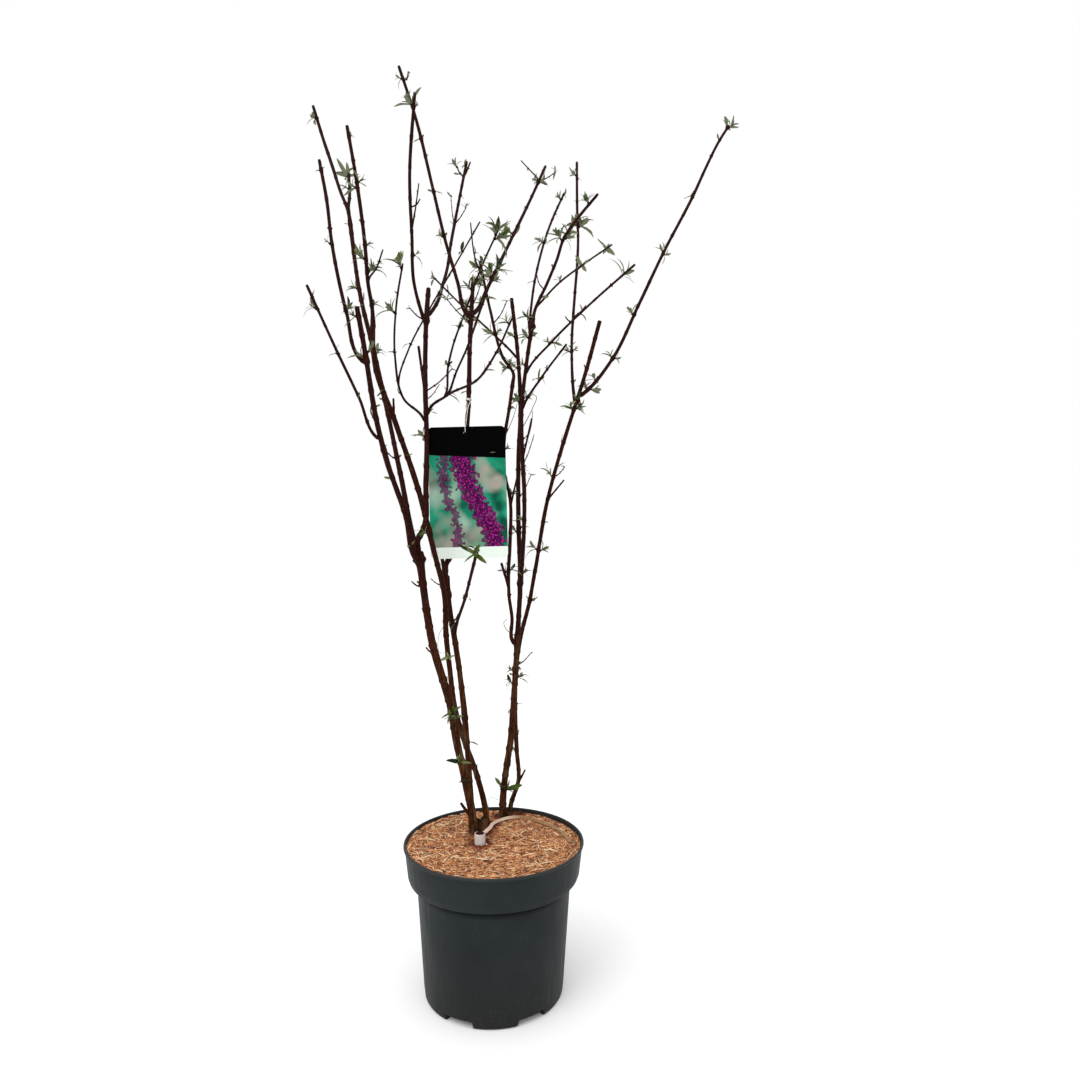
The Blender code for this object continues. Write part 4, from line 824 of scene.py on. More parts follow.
def shader_group(name, numbers, outputs):
    """An empty node group, and its inputs of the given names and first values."""
    group = bpy.data.node_groups.new(name, "ShaderNodeTree")
    for key, value in numbers.items():
        socket = group.interface.new_socket(key, in_out="INPUT", socket_type="NodeSocketFloat")
        socket.default_value = value
    for key in outputs:
        group.interface.new_socket(key, in_out="OUTPUT", socket_type="NodeSocketFloat")
    given = node(group, "NodeGroupInput")
    return group, {key: Value(given, key) for key in numbers}


def make_streaks():
    """Noise drawn out along Z, in object space: Across and Along are streaks to a metre."""
    group, given = shader_group("streaks", {"Across": 300.0, "Along": 40.0, "Low": 0.35, "High": 0.65},
                                ("Mask", "Height"))
    scale = joined("ShaderNodeCombineXYZ", {0: given["Across"], 1: given["Across"], 2: given["Along"]})
    height = noise(vector_maths("MULTIPLY", object_place(group), scale), 1.0, 5.0, 0.62)
    mask = spread(height, given["Low"], given["High"])
    node(group, "NodeGroupOutput", {"Mask": mask, "Height": height})
    return group


def make_mottle():
    """Even noise in object space: Scale is blotches to a metre, Low and High set the contrast."""
    group, given = shader_group("mottle", {"Scale": 60.0, "Low": 0.4, "High": 0.6}, ("Mask", "Height"))
    height = noise(object_place(group), given["Scale"], 4.0, 0.6)
    mask = spread(height, given["Low"], given["High"])
    node(group, "NodeGroupOutput", {"Mask": mask, "Height": height})
    return group


def make_foot_shade():
    """Mask of painted shade: 1 on the mulch closer than Near to a stem's foot or the sleeve, 0 from Far
    away, in metres.
    """
    group, given = shader_group("painted_foot_shade", {"Near": 0.016, "Far": 0.030}, ("Mask",))
    place = object_place(group)
    nearest = 1.0
    for x, y in FOOT_SHADE_PLACES:
        apart = vector_maths("DISTANCE", place, (x * CM, y * CM, MULCH_TOP), "Value")
        nearest = maths("MINIMUM", nearest, apart)
    node(group, "NodeGroupOutput", {"Mask": spread(nearest, given["Near"], given["Far"], 1.0, 0.0)})
    return group


STREAKS = make_streaks()
MOTTLE = make_mottle()
FOOT_SHADE = make_foot_shade()


class Finish:
    """A material on a Principled shader. In its inputs' names, an underscore stands for a space."""

    def __init__(self, name, colour, roughness, **numbers):
        self.material = bpy.data.materials.new(name)
        self.material.use_nodes = True
        self.tree = self.material.node_tree
        self.shader = self.tree.nodes["Principled BSDF"]
        self.feed(Base_Color=(*colour, 1), Roughness=roughness, **numbers)

    def feed(self, **inputs):
        fill(self.shader, {key.replace("_", " "): value for key, value in inputs.items()})

    def use(self, group, **numbers):
        """Places a node group with its own numbers, and gives back its outputs by name."""
        made = node(self.tree, "ShaderNodeGroup", node_tree=group)
        fill(made, numbers)
        return {output.name: Value(made, output.name) for output in made.outputs}

    def height_share(self, low, high):
        """0 below a height and 1 above another one, in metres."""
        return spread(parts_of(object_place(self.tree))[2], low, high)

    def gloss(self, height, low, high):
        """Roughness that follows a noise's height from low to high."""
        self.feed(Roughness=spread(height, 0.3, 0.7, low, high))

    def bump(self, height, strength, distance):
        relief = joined("ShaderNodeBump", {"Height": height, "Strength": strength, "Distance": distance})
        self.feed(Normal=relief)


def bark_material(name, base, dark, light, streaks, roughness, high_base=None, moss=0.0):
    """Bark with its number of streaks to a metre. Cut ends, marked by the attribute cut, are near black.

    With moss, warm patches and drawn-out pale ones lie on it low down. Further up, its ground colour
    turns to high_base.
    """
    finish = Finish(name, base, roughness, Specular_IOR_Level=0.06)
    grain = finish.use(STREAKS, Across=streaks, Along=streaks * 0.05, Low=0.34, High=0.68)
    fine = finish.use(STREAKS, Across=streaks * 1.6, Along=streaks * 0.30, Low=0.55, High=0.70)
    ground = base
    if high_base:
        ground = mix(finish.height_share(0.40, 0.78), base, high_base)
    if moss:
        low_down = 1.0 - finish.height_share(0.36, 0.66)
        warm = finish.use(MOTTLE, Scale=19.0, Low=0.45, High=0.60)
        ground = mix(warm["Mask"] * low_down, ground, (0.110, 0.036, 0.009))
    colour = mix(grain["Mask"], dark, ground)
    colour = mix(fine["Mask"] * 0.55, colour, light)
    if moss:
        patches = finish.use(STREAKS, Across=130.0, Along=24.0, Low=0.52, High=0.64)
        colour = mix(patches["Mask"] * moss * low_down, colour, (0.130, 0.088, 0.036))
    cut = Value(node(finish.tree, "ShaderNodeAttribute", attribute_name="cut"), "Fac")
    finish.feed(Base_Color=mix(cut, colour, (0.005, 0.004, 0.003)))
    finish.gloss(grain["Height"], roughness - 0.12, roughness + 0.12)
    finish.bump(grain["Height"], 0.55, 0.4 * MM)
    return finish.material


def leaf_material(name, colour):
    """A soft felted leaf of one plain colour, a little uneven in gloss."""
    finish = Finish(name, colour, 0.66, Specular_IOR_Level=0.08)
    felt = finish.use(MOTTLE, Scale=900.0, Low=0.35, High=0.65)
    finish.gloss(felt["Height"], 0.52, 0.74)
    finish.bump(felt["Height"], 0.25, 0.15 * MM)
    return finish.material


def chip_material(name, colour):
    """Shredded bark: a plain colour with a fine mottle. Round the stems' feet and the sleeve it is darker
    and duller: painted shade.
    """
    finish = Finish(name, colour, 0.85)
    grain = finish.use(MOTTLE, Scale=700.0, Low=0.30, High=0.72)
    grained = mix(grain["Mask"], tuple(0.62 * part for part in colour), colour)
    # Painted shade round the stems' feet and the sleeve: darker colour and less gloss
    shaded = finish.use(FOOT_SHADE)["Mask"] * 0.90
    finish.feed(Base_Color=mix(shaded, grained, FOOT_SHADE_COLOUR), Specular_IOR_Level=spread(shaded, 0, 1, 0.5, 0.15))
    finish.bump(grain["Height"], 0.5, 0.25 * MM)
    return finish.material


def crumb_material(name, colour):
    """Grit or moss: a plain colour with darker spots."""
    finish = Finish(name, colour, 0.9)
    lumps = finish.use(MOTTLE, Scale=1200.0, Low=0.35, High=0.65)
    finish.feed(Base_Color=mix(lumps["Mask"], tuple(0.55 * part for part in colour), colour))
    finish.bump(lumps["Height"], 0.6, 0.3 * MM)
    return finish.material


# Leaves


class Foliage:
    """Collects leaves, and makes each tint's leaves one piece of upper sides."""

    ROWS = np.array([0.0, 0.07, 0.20, 0.36, 0.54, 0.72, 0.88, 1.0])
    COLUMNS = np.array([-1.0, -0.5, 0.0, 0.5, 1.0])

    def __init__(self, stems):
        self.leaves = []
        self.limbs = {}
        for name, stem in stems.items():
            self.limbs[name] = np.column_stack([stem.places, stem.radii])[::2]

    def blocked(self, owner, places):
        """Whether any place lies in a limb other than the one that carries the leaf."""
        for name, filled in self.limbs.items():
            if name == owner:
                continue
            apart = np.linalg.norm(filled[None, :, :3] - places[:, None], axis=2) - filled[None, :, 3]
            if apart.min() < KEEP_CLEAR:
                return True
        return False

    def leaf(self, owner, foot, way, face, length, tint, draw):
        """Adds a slim or a broad leaf, unless it would meet the mulch or another limb."""
        reach = foot + way * (np.array([0.35, 0.6, 0.85, 1.0]) * length)[:, None]
        if reach[:, 2].min() < MULCH_TOP + 1 * CM or self.blocked(owner, reach):
            return
        slim = draw.random() < SLIM_SHARE
        length *= 1.25 if slim else 1.0
        large = max(0.0, length - 2.2 * CM) / CM
        width = draw.uniform(0.12, 0.19) if slim else draw.uniform(0.24, 0.37) - 0.05 * large
        shape = (width, draw.uniform(0.4, 1.5) if slim else draw.uniform(0.0, 0.8),
                 draw.uniform(0.15, 0.60), draw.uniform(-0.6, 0.6), draw.uniform(0, math.tau))
        self.leaves.append((*foot, *way, *face, length, *shape, tint))

    def surfaces(self, rows):
        """Upper and under sides of leaves, as arrays of leaf by row by column.

        Along a leaf, t from 0 to 1, the middle line turns away from its face by curl t. Half its
        width is proportional to t^0.62 (1 - t)^0.8 and more, to a short stalk; across it, u from -1
        to 1, the blade folds up by fold |u| and waves at its edge. The under side sinks by a
        thickness that is nothing at the edge, so the two sides close.
        """
        data = np.array([leaf[:-1] for leaf in rows])
        foot, way, face = data[:, 0:3], data[:, 3:6], data[:, 6:9]
        length, width, curl, fold, twist, phase = data[:, 9:].T
        across = unit(np.cross(way, face))[:, None, None]
        upward = np.cross(across, way[:, None, None])
        t = self.ROWS[None, :]
        middle = 0.5 * (t[:, 1:] + t[:, :-1])
        turn = curl[:, None] * middle**1.3
        steps = np.diff(self.ROWS)[None, :] * length[:, None]
        ahead = np.pad(np.cumsum(steps * np.cos(turn), axis=1), ((0, 0), (1, 0)))
        down = np.pad(np.cumsum(steps * np.sin(turn), axis=1), ((0, 0), (1, 0)))
        half = t**0.62 * (1 - t) ** 0.8
        half = half / half.max() * (width * length)[:, None] / 2
        half = np.maximum(half, 0.012 * length[:, None] * (1 - t))
        u = self.COLUMNS[None, None, :]
        roll = (twist[:, None] * t)[:, :, None]
        wave = 0.10 * np.sin(14 * t + phase[:, None])[:, :, None] * u**2
        out = half[:, :, None] * u
        lift = half[:, :, None] * (np.abs(u) * fold[:, None, None] + wave)
        sideways = out * np.cos(roll) - lift * np.sin(roll)
        lift = out * np.sin(roll) + lift * np.cos(roll)
        points = (foot[:, None, None] + way[:, None, None] * ahead[:, :, None, None]
                  - upward * down[:, :, None, None]
                  + across * sideways[..., None] + upward * lift[..., None])
        thickness = (0.03 * half[:, :, None] + 0.12 * MM) * (1 - u**2)
        return points, points - upward * thickness[..., None]

    def pieces(self, nodes):
        """One piece of upper sides for each tint, and one of all the under sides."""
        faces = grid_faces(len(self.ROWS), len(self.COLUMNS), wrap=False)
        size = len(self.ROWS) * len(self.COLUMNS)
        below = Surface()
        for tint, (name, colour, _) in enumerate(LEAF_TINTS):
            rows = [leaf for leaf in self.leaves if leaf[-1] == tint]
            upper, under = self.surfaces(rows)
            starts = np.arange(len(rows))[:, None, None] * size
            every = (faces[None] + starts).reshape(-1, 4)
            above = Surface()
            above.add(upper, [every[:, ::-1]])
            below.add(under, [every])
            dress(above.piece(name, leaf_material(name, colour), sharp=180), "foliage", *nodes)
        felt = leaf_material("leaf_undersides", UNDERSIDE_COLOUR)
        dress(below.piece("leaf_undersides", felt, sharp=180), "foliage", *nodes)


def deal_tint(draw):
    """One of the leaf tints, by its share."""
    chance = draw.random()
    for index, (_, _, share) in enumerate(LEAF_TINTS):
        chance -= share
        if chance < 0:
            return index
    return 0


def tuft(wood, foliage, owner, root, direction, out, pairs, size, draw, spread_out=0.85):
    """Opposite pairs of leaves on one short shoot, each pair square to the last.

    The oldest pair is lowest, longest and leans out most; the youngest stands at the tip.
    """
    axis = unit(out * spread_out + direction * draw.uniform(0.35, 0.75) + np.array([0, 0, 0.25]))
    reach = (2.0 + 1.7 * pairs) * MM * draw.uniform(0.8, 1.3)
    places = root + axis * np.linspace(0, reach, 5)[:, None]
    bulk = min(1.0, 0.55 + 0.15 * pairs)
    tube(wood, places, np.array([1.9, 2.1, 1.7, 1.0, 0.4]) * bulk * TWIG_RADIUS, 7)
    across = unit(np.cross(axis, direction + 0.01))
    square = np.cross(axis, across)
    tint = deal_tint(draw)
    start = draw.uniform(-0.4, 0.4) + (math.pi / 2 if draw.random() < 0.3 else 0)
    for pair in range(pairs + (pairs > 1)):
        share = pair / (pairs + 0.5)
        foot = root + axis * reach * (0.3 + 0.7 * share)
        for side in (0, math.pi):
            if pair < pairs and draw.random() < 0.10:
                continue
            turn = start + pair * math.pi / 2 + side + draw.uniform(-0.25, 0.25)
            radial = across * math.cos(turn) + square * math.sin(turn)
            lean = math.radians(56 - 44 * share + draw.uniform(-18, 18))
            way = unit(axis * math.cos(lean) + radial * math.sin(lean))
            length = size * CM * (1 - 0.50 * share) * draw.uniform(0.62, 1.18)
            shade = deal_tint(draw) if draw.random() < 0.6 else tint
            foliage.leaf(owner, foot, way, axis, length, shade, draw)


def bud(wood, root, direction, out, girth, draw):
    """A small dark bud or leaf scar that stands off a node."""
    axis = unit(out + direction * draw.uniform(0.3, 0.9))
    reach = draw.uniform(1.6, 3.6) * MM
    start = root + out * girth * 0.7
    places = start + axis * np.linspace(0, reach, 4)[:, None]
    tube(wood, places, np.array([1.3, 1.3, 0.9, 0.3]) * min(1.1 * MM, 0.6 * girth), 6, cut_tip=0.5)


# Limbs and shoots


def flat_bearing(direction, degrees):
    """The way out of a stem, square to it, that points to a bearing on the ground."""
    angle = math.radians(degrees)
    flat = np.array([math.cos(angle), math.sin(angle), 0])
    return unit(flat - direction * flat.dot(direction))


def round_bearing(direction, bearing):
    """The way out of a stem, square to it, turned round it by a bearing."""
    side = unit(np.cross(direction, ROUND_REFERENCE))
    return side * math.cos(bearing) + np.cross(direction, side) * math.sin(bearing)


def set_nodes(stem, name, draw):
    """Where the stem has nodes: at each tuft, and between them by the rule of the solids."""
    stem.knuckles = [(height, share) for limb, height, share in KNUCKLES if limb == name]
    marks = [stem.at_height(height * CM) for height, _, _, _ in TUFTS.get(name, ())]
    distance = 0.6 * LOW_INTERNODE
    bearing = draw.uniform(0, math.tau)
    stem.nodes = [(mark, None) for mark in marks]
    while distance < stem.length - TIP_INTERNODE / 3:
        if all(abs(distance - mark) > 1.6 * CM for mark in marks):
            stem.nodes.append((distance, bearing))
        bearing += math.pi / 2
        distance += LOW_INTERNODE + (TIP_INTERNODE - LOW_INTERNODE) * distance / stem.length


def limb_radii(stem, sides, seed, rough):
    """Radii of a limb with its bark: the solid's, a little larger, times 1 + swell, plus relief.

    The relief is ridges, finer strips and plates, thickest near the foot; nodes and forks swell.
    """
    turns = np.arange(sides) / sides
    run = stem.along[:, None]
    ridges = cylinder_noise(turns, run, 9, 24 * MM, seed)
    strips = cylinder_noise(turns, run, 19, 7 * MM, seed + 1)
    plates = np.clip(cylinder_noise(turns, run, 7, 13 * MM, seed + 2) * 3 - 0.6, 0, 1)
    fade = np.exp(-run / (22 * CM))
    relief = rough * MM * (0.24 * ridges + 0.13 * strips + 0.42 * plates * (0.25 + fade))
    swell = np.zeros_like(run)
    for mark, _ in stem.nodes:
        swell = swell + 0.16 * np.exp(-((run - mark) / (3.4 * MM)) ** 2)
        swell = swell - 0.05 * np.exp(-((run - mark + 5.5 * MM) / (2.0 * MM)) ** 2)
    swell = np.clip(swell, -0.08, 0.22)
    for height, share in stem.knuckles:
        lumps = 1 + 0.5 * cylinder_noise(turns, run, 5, 6 * MM, seed + 4)
        swell = swell + share * np.exp(-((run - stem.at_height(height * CM)) / (5.5 * MM)) ** 2) * lumps
    bend = 1 + 0.06 * cylinder_noise(np.zeros(1), run, 3, 5 * CM, seed + 3)
    round_wood = stem.radii[:, None] * BARK_SHARE + BARK_DEPTH
    return round_wood * (1 + swell) * bend + relief * np.minimum(1, stem.radii[:, None] / (4 * MM))


def limb_tube(surface, stem, sides, seed, rough):
    """A limb's bark as a closed tube whose cut end is dark and a little rounded."""
    radii = limb_radii(stem, sides, seed, rough)
    left = stem.length - stem.along
    radii[-1] *= 0.86
    cut = np.clip(1 - left / (4 * MM), 0, 1) * 0.8
    tube(surface, stem.places, radii, sides, cut_tip=1.0, cut=cut)


def side_twig(surface, foliage, name, stem, height, radius, tip, pairs, size, draw, seed):
    """A thin side twig that bends up, with small buds and perhaps a tuft at its tip."""
    root, direction, _ = stem.at(stem.at_height(height * CM))
    tip = np.array(tip) * CM
    bend = 0.55 * root + 0.45 * tip + unit(tip - root) * 2 * MM - direction * 4 * MM
    twig = Stem([root, bend, tip], radius, 0.65 * radius, 0, 0.5, 2.5 * MM)
    twig.nodes = [(share * twig.length, None) for share in (0.3, 0.58, 0.82)]
    limb_tube(surface, twig, 8, seed, 0.35)
    for mark, _ in twig.nodes:
        place, heading, thick = twig.at(mark)
        for side in (0, math.pi):
            out = round_bearing(heading, draw.uniform(0, math.tau) + side)
            bud(surface, place, heading, out, thick, draw)
    if pairs:
        end, heading, _ = twig.at(twig.length - 1 * MM)
        out = round_bearing(heading, draw.uniform(0, math.tau))
        tuft(surface, foliage, name, end, heading, out, pairs, size, draw)


def side_twigs(surface, foliage, name, stem, draw):
    """The side twigs of one limb."""
    for number, (limb, height, radius, tip, pairs, size) in enumerate(TWIGS):
        if limb == name:
            side_twig(surface, foliage, name, stem, height, radius, tip, pairs, size, draw, number)


def stubs(surface, name, stem):
    """The pruned stubs of one limb, each a short straight branch."""
    for number, (limb, height, radius, tip) in enumerate(STUBS):
        if limb != name:
            continue
        root, _, girth = stem.at(stem.at_height(height * CM))
        tip = np.array(tip) * CM
        bend = root + unit(tip - root) * 2 * girth
        branch = Stem([root, bend, tip], radius, 0.9 * radius, 0.12, 0.5, 2 * MM)
        branch.nodes = [(0.55 * branch.length, None)]
        limb_tube(surface, branch, 18, SEED + 7 * number, 0.5)


def clothe(surface, foliage, name, stem, draw):
    """Sets a stem with its tufts, and its other nodes with buds and small leaves by a seeded rule."""
    for height, bearing, pairs, size in TUFTS.get(name, ()):
        distance = stem.at_height(height * CM)
        root, direction, girth = stem.at(distance)
        out = flat_bearing(direction, bearing + draw.uniform(-14, 14))
        upright = 0.35 if stem.length - distance < 1.2 * CM else 0.85
        foot = root + out * 0.8 * girth
        tuft(surface, foliage, name, foot, direction, out, pairs, size, draw, upright)
        if draw.random() < 0.75:
            bud(surface, root, direction, -out, girth, draw)
    for distance, bearing in stem.nodes:
        if bearing is None:
            continue
        root, direction, girth = stem.at(distance)
        for side in (0, math.pi):
            out = round_bearing(direction, bearing + side)
            chance = draw.random()
            bud(surface, root, direction, out, girth, draw)
            if chance > 0.88:
                foot = root + out * 0.8 * girth
                tuft(surface, foliage, name, foot, direction, out, 1, draw.uniform(0.5, 1.0), draw)


def make_plant(stems):
    """Canes and boughs as one bark piece each, shoots as one twig piece each, leaves by tint."""
    foliage = Foliage(stems)
    old = bark_material("old_bark", (0.050, 0.0128, 0.0042), (0.008, 0.0017, 0.0009),
                        (0.140, 0.050, 0.017), 420, 0.78, high_base=(0.030, 0.0040, 0.0016), moss=0.55)
    young = bark_material("young_bark", (0.028, 0.0036, 0.0018), (0.0045, 0.0008, 0.0005),
                          (0.110, 0.024, 0.010), 480, 0.60)
    green = bark_material("shoot_bark", (0.024, 0.0036, 0.0018), (0.0045, 0.0009, 0.0006),
                          (0.090, 0.021, 0.009), 560, 0.58)
    for index, (name, *_) in enumerate(LIMBS):
        stem = stems[name]
        draw = random.Random(SEED + index)
        set_nodes(stem, name, draw)
        surface = Surface()
        cane = name in CANE_NAMES
        limb_tube(surface, stem, 40 if cane else 30, SEED + 10 * index, 1.0 if cane else 0.6)
        stubs(surface, name, stem)
        side_twigs(surface, foliage, name, stem, draw)
        clothe(surface, foliage, name, stem, draw)
        piece = surface.piece(f"{name}_bark", old if cane else young)
        dress(piece, "old_bark" if cane else "young_bark", name)
    for index, (name, *_, arms) in enumerate(SHOOTS):
        draw = random.Random(SEED + 100 + index)
        surface = Surface()
        parts = [name] + [f"{name} {number}" for number in range(len(arms))]
        for number, part in enumerate(parts):
            stem = stems[part]
            set_nodes(stem, part, draw)
            limb_tube(surface, stem, 18 if number == 0 else 14, SEED + 900 + 10 * index + number, 0.4)
            clothe(surface, foliage, part, stem, draw)
        side_twigs(surface, foliage, name, stems[name], draw)
        dress(surface.piece(f"{name}_wood", green), "young_bark", name)
    foliage.pieces([name for name, *_ in SHOOTS])
    shreds = Surface()
    for radius, route in FIBRES:
        line = smooth_route(np.array(route) * CM, 1.2 * MM)
        tube(shreds, line, np.linspace(1.0, 0.6, len(line)) * radius * MM, 8)
    dress(shreds.piece("dead_shreds", green, sharp=180), "young_bark")


# Pot


def arc(centre_x, centre_z, reach_x, reach_z, degrees):
    """Points of an ellipse's arc: its centre plus (reach_x cos a, reach_z sin a) at each angle a."""
    bend = np.radians(degrees)
    return np.stack([centre_x + reach_x * np.cos(bend), centre_z + reach_z * np.sin(bend)], axis=1)


def pot_outline():
    """The pot's section, from the middle of its floor inside, over the lip, to its middle below."""
    depth = COLLAR_FOOT_RADIUS - NECK_RADIUS
    quarter = np.linspace(90, 0, 9)
    sheet_top = POT_HEIGHT - LIP_HEIGHT - LIP_WIDTH
    floor_radii = np.array([0, 0.02, 0.04, 0.06, CHANNEL_INNER_RADIUS - CHANNEL_EDGE,
                            CHANNEL_INNER_RADIUS, 0.085, 0.10, 0.108])

    def wall(inset, floor, top_radius):
        """Floor, rounded foot, tapering body, collar's bend and collar, a distance inside the pot."""
        shelf = COLLAR_FOOT_HEIGHT + inset
        radius = COLLAR_FOOT_RADIUS - inset
        low = np.linspace(floor + FOOT_ROUND, shelf - 0.1 * depth, 26)
        body = np.stack([BASE_RADIUS + POT_TAPER * low - inset, low], axis=1)
        corner = arc(BASE_RADIUS + POT_TAPER * floor - inset - FOOT_ROUND, floor + FOOT_ROUND,
                     FOOT_ROUND, -FOOT_ROUND, quarter)
        collar = arc(radius - 0.6 * depth, shelf + 0.6 * depth, 0.6 * depth, -0.6 * depth, quarter)
        rise = np.linspace(shelf + 0.75 * depth, sheet_top, 14)
        share = (rise - shelf) / (POT_HEIGHT - shelf)
        sheet = np.stack([radius + (top_radius - radius) * share, rise], axis=1)
        flat = np.stack([floor_radii, np.full(len(floor_radii), floor)], axis=1)
        return np.vstack([flat, corner, body[1:], collar, sheet])

    inner = wall(POT_WALL, POT_WALL, RIM_RADIUS - LIP_WIDTH - POT_WALL)
    outer = wall(0, 0, RIM_RADIUS - LIP_WIDTH)
    half = 0.5 * (POT_WALL + LIP_WIDTH)
    crown = arc(RIM_RADIUS - half, POT_HEIGHT - half, half, half, np.linspace(180, 0, 13))
    roll = np.array([[RIM_RADIUS, POT_HEIGHT - LIP_HEIGHT * 0.7], [RIM_RADIUS, POT_HEIGHT - LIP_HEIGHT],
                     [RIM_RADIUS - 0.5 * LIP_WIDTH, POT_HEIGHT - LIP_HEIGHT - 0.6 * LIP_WIDTH]])
    return np.vstack([inner, crown, roll, outer[::-1]])


def drill(pot, place):
    """Cuts one drainage hole, upright through the floor of the pot."""
    form = bmesh.new()
    bmesh.ops.create_cone(form, cap_ends=True, segments=40, radius1=DRAIN_HOLE_RADIUS,
                          radius2=DRAIN_HOLE_RADIUS, depth=4 * POT_WALL)
    bmesh.ops.translate(form, verts=form.verts, vec=place)
    mesh = bpy.data.meshes.new("drain")
    form.to_mesh(mesh)
    form.free()
    cutter = placed("drain", mesh)
    cut = pot.modifiers.new("drain", "BOOLEAN")
    cut.operation = "DIFFERENCE"
    cut.object = cutter
    graph = bpy.context.evaluated_depsgraph_get()
    pot.data = bpy.data.meshes.new_from_object(pot.evaluated_get(graph))
    pot.modifiers.clear()
    bpy.data.objects.remove(cutter, do_unlink=True)


def make_pot():
    """The outline turned round Z, with six drainage channels pressed up into its foot.

    A channel lifts the foot by its height times a smooth step across its sides and inner end.
    The lift fades out over the lowest 20 mm of the wall, so the wall stays whole.
    """
    outline = pot_outline()
    steps = np.arange(0, 360, ROUND_STEP)
    channels = math.degrees(FIRST_CHANNEL_ANGLE) + 360 / FEET * np.arange(FEET)
    sides = math.degrees(CHANNEL_HALF_ANGLE) * np.array([-1, 1])
    near = np.array([-1.0, -0.5, -0.15, 0.15, 0.5, 1.0])
    extra = (channels[:, None, None] + sides[None, :, None] + near[None, None, :]).ravel()
    angle = np.radians(np.unique(np.round(np.concatenate([steps, extra % 360]), 3)))
    offset = (angle - FIRST_CHANNEL_ANGLE + math.pi / FEET) % (math.tau / FEET) - math.pi / FEET
    radius = outline[:, 0][:, None]
    height = outline[:, 1][:, None]
    inside = np.clip((CHANNEL_HALF_ANGLE - np.abs(offset))[None, :] * radius / CHANNEL_EDGE + 0.5, 0, 1)
    inward = np.clip((radius - CHANNEL_INNER_RADIUS) / CHANNEL_EDGE + 1, 0, 1)
    gate = ease(inside) * ease(inward)
    lift = CHANNEL_HEIGHT * gate * np.clip(1 - height / (2 * CHANNEL_HEIGHT), 0, 1)
    wide = radius + POT_TAPER * lift * (radius > BASE_RADIUS - 8 * MM)
    wide = wide * (1 + 0.0012 * np.sin(2 * angle + 0.6)[None, :])
    points = np.stack([wide * np.cos(angle), wide * np.sin(angle), height + lift], axis=-1)
    surface = Surface()
    surface.add(points, [grid_faces(len(outline), len(angle))[:, ::-1]])
    pot = welded(surface.piece("nursery_pot", pot_material(), sharp=POT_SHARP), 0.005 * MM)
    for index in range(FEET):
        turn = FIRST_CHANNEL_ANGLE + index * math.tau / FEET
        drill(pot, (DRAIN_HOLE_REACH * math.cos(turn), DRAIN_HOLE_REACH * math.sin(turn),
                    CHANNEL_HEIGHT + POT_WALL / 2))
    pot.data.shade_smooth()
    pot.data.set_sharp_from_angle(angle=math.radians(POT_SHARP))
    dress(pot, "pot", "pot")


def pot_material():
    """Dull moulded plastic: fine grain, faint upright streaks that vary its gloss and carry a painted sheen,
    and dust low down and on the rim.

    Its foot is greyer, and a band of painted shade without gloss lies under the collar, where the collar's
    overhang shades the neck.
    """
    finish = Finish("pot_plastic", (0.008, 0.012, 0.014), 0.5, Specular_IOR_Level=0.14)
    share = finish.height_share
    cloud = finish.use(MOTTLE, Scale=9.0, Low=0.35, High=0.65)
    sheen_streaks = finish.use(STREAKS, Across=120.0, Along=9.0, Low=0.60, High=0.80)
    dust = finish.use(MOTTLE, Scale=420.0, Low=0.60, High=0.74)
    colour = mix(cloud["Mask"], (0.0055, 0.0090, 0.0105), (0.0105, 0.0150, 0.0170))
    # Upright streaks: their lighter colour is a painted sheen; the same streaks also vary the roughness
    colour = mix(sheen_streaks["Mask"] * 0.25, colour, (0.045, 0.052, 0.053))
    foot = 1.0 - share(0.02, 0.15)
    colour = mix(foot * 0.6, colour, (0.0125, 0.0120, 0.0105))
    # Painted shade under the collar's overhang: a near-black band, and no gloss there
    under = share(COLLAR_FOOT_HEIGHT - 14 * MM, COLLAR_FOOT_HEIGHT - 1 * MM)
    under = under * (1.0 - share(COLLAR_FOOT_HEIGHT + 2 * MM, COLLAR_FOOT_HEIGHT + 4 * MM))
    colour = mix(under * 0.80, colour, (0.0022, 0.0026, 0.0028))
    low = 1.0 - share(0.0, 0.07)
    colour = mix(dust["Mask"] * (low * 0.30 + 0.06), colour, (0.22, 0.16, 0.11))
    colour = mix(share(0.252, 0.260) * 0.16, colour, (0.12, 0.11, 0.095))
    finish.feed(Base_Color=colour, Specular_IOR_Level=spread(under, 0, 1, 0.14, 0.0))
    finish.gloss(sheen_streaks["Height"], 0.44, 0.60)
    grain = finish.use(MOTTLE, Scale=1600.0, Low=0.3, High=0.7)
    finish.bump(grain["Height"], 0.12, 0.1 * MM)
    return finish.material


# Mulch


def mulch_height(x, y):
    """The mulch's top: a heap at the back left, a slope down to the back right, low at its edge."""
    reach = np.hypot(x, y)
    heap = 2.4 * MM * np.exp(-(((x + 0.02) ** 2 + (y - 0.06) ** 2) / 0.06**2))
    slope = -1.8 * MM * np.clip((x * 0.8 + y * 0.5) / 0.15, -1, 1)
    edge = -3.0 * MM * np.clip((reach - MULCH_EDGE) / MULCH_EDGE_WIDTH, 0, 1) ** 2
    rough = 0.9 * MM * plane_noise(x, y, 11 * MM, 5) + 0.6 * MM * plane_noise(x, y, 4 * MM, 6)
    return MULCH_TOP - 0.6 * MM + heap + slope + edge + rough


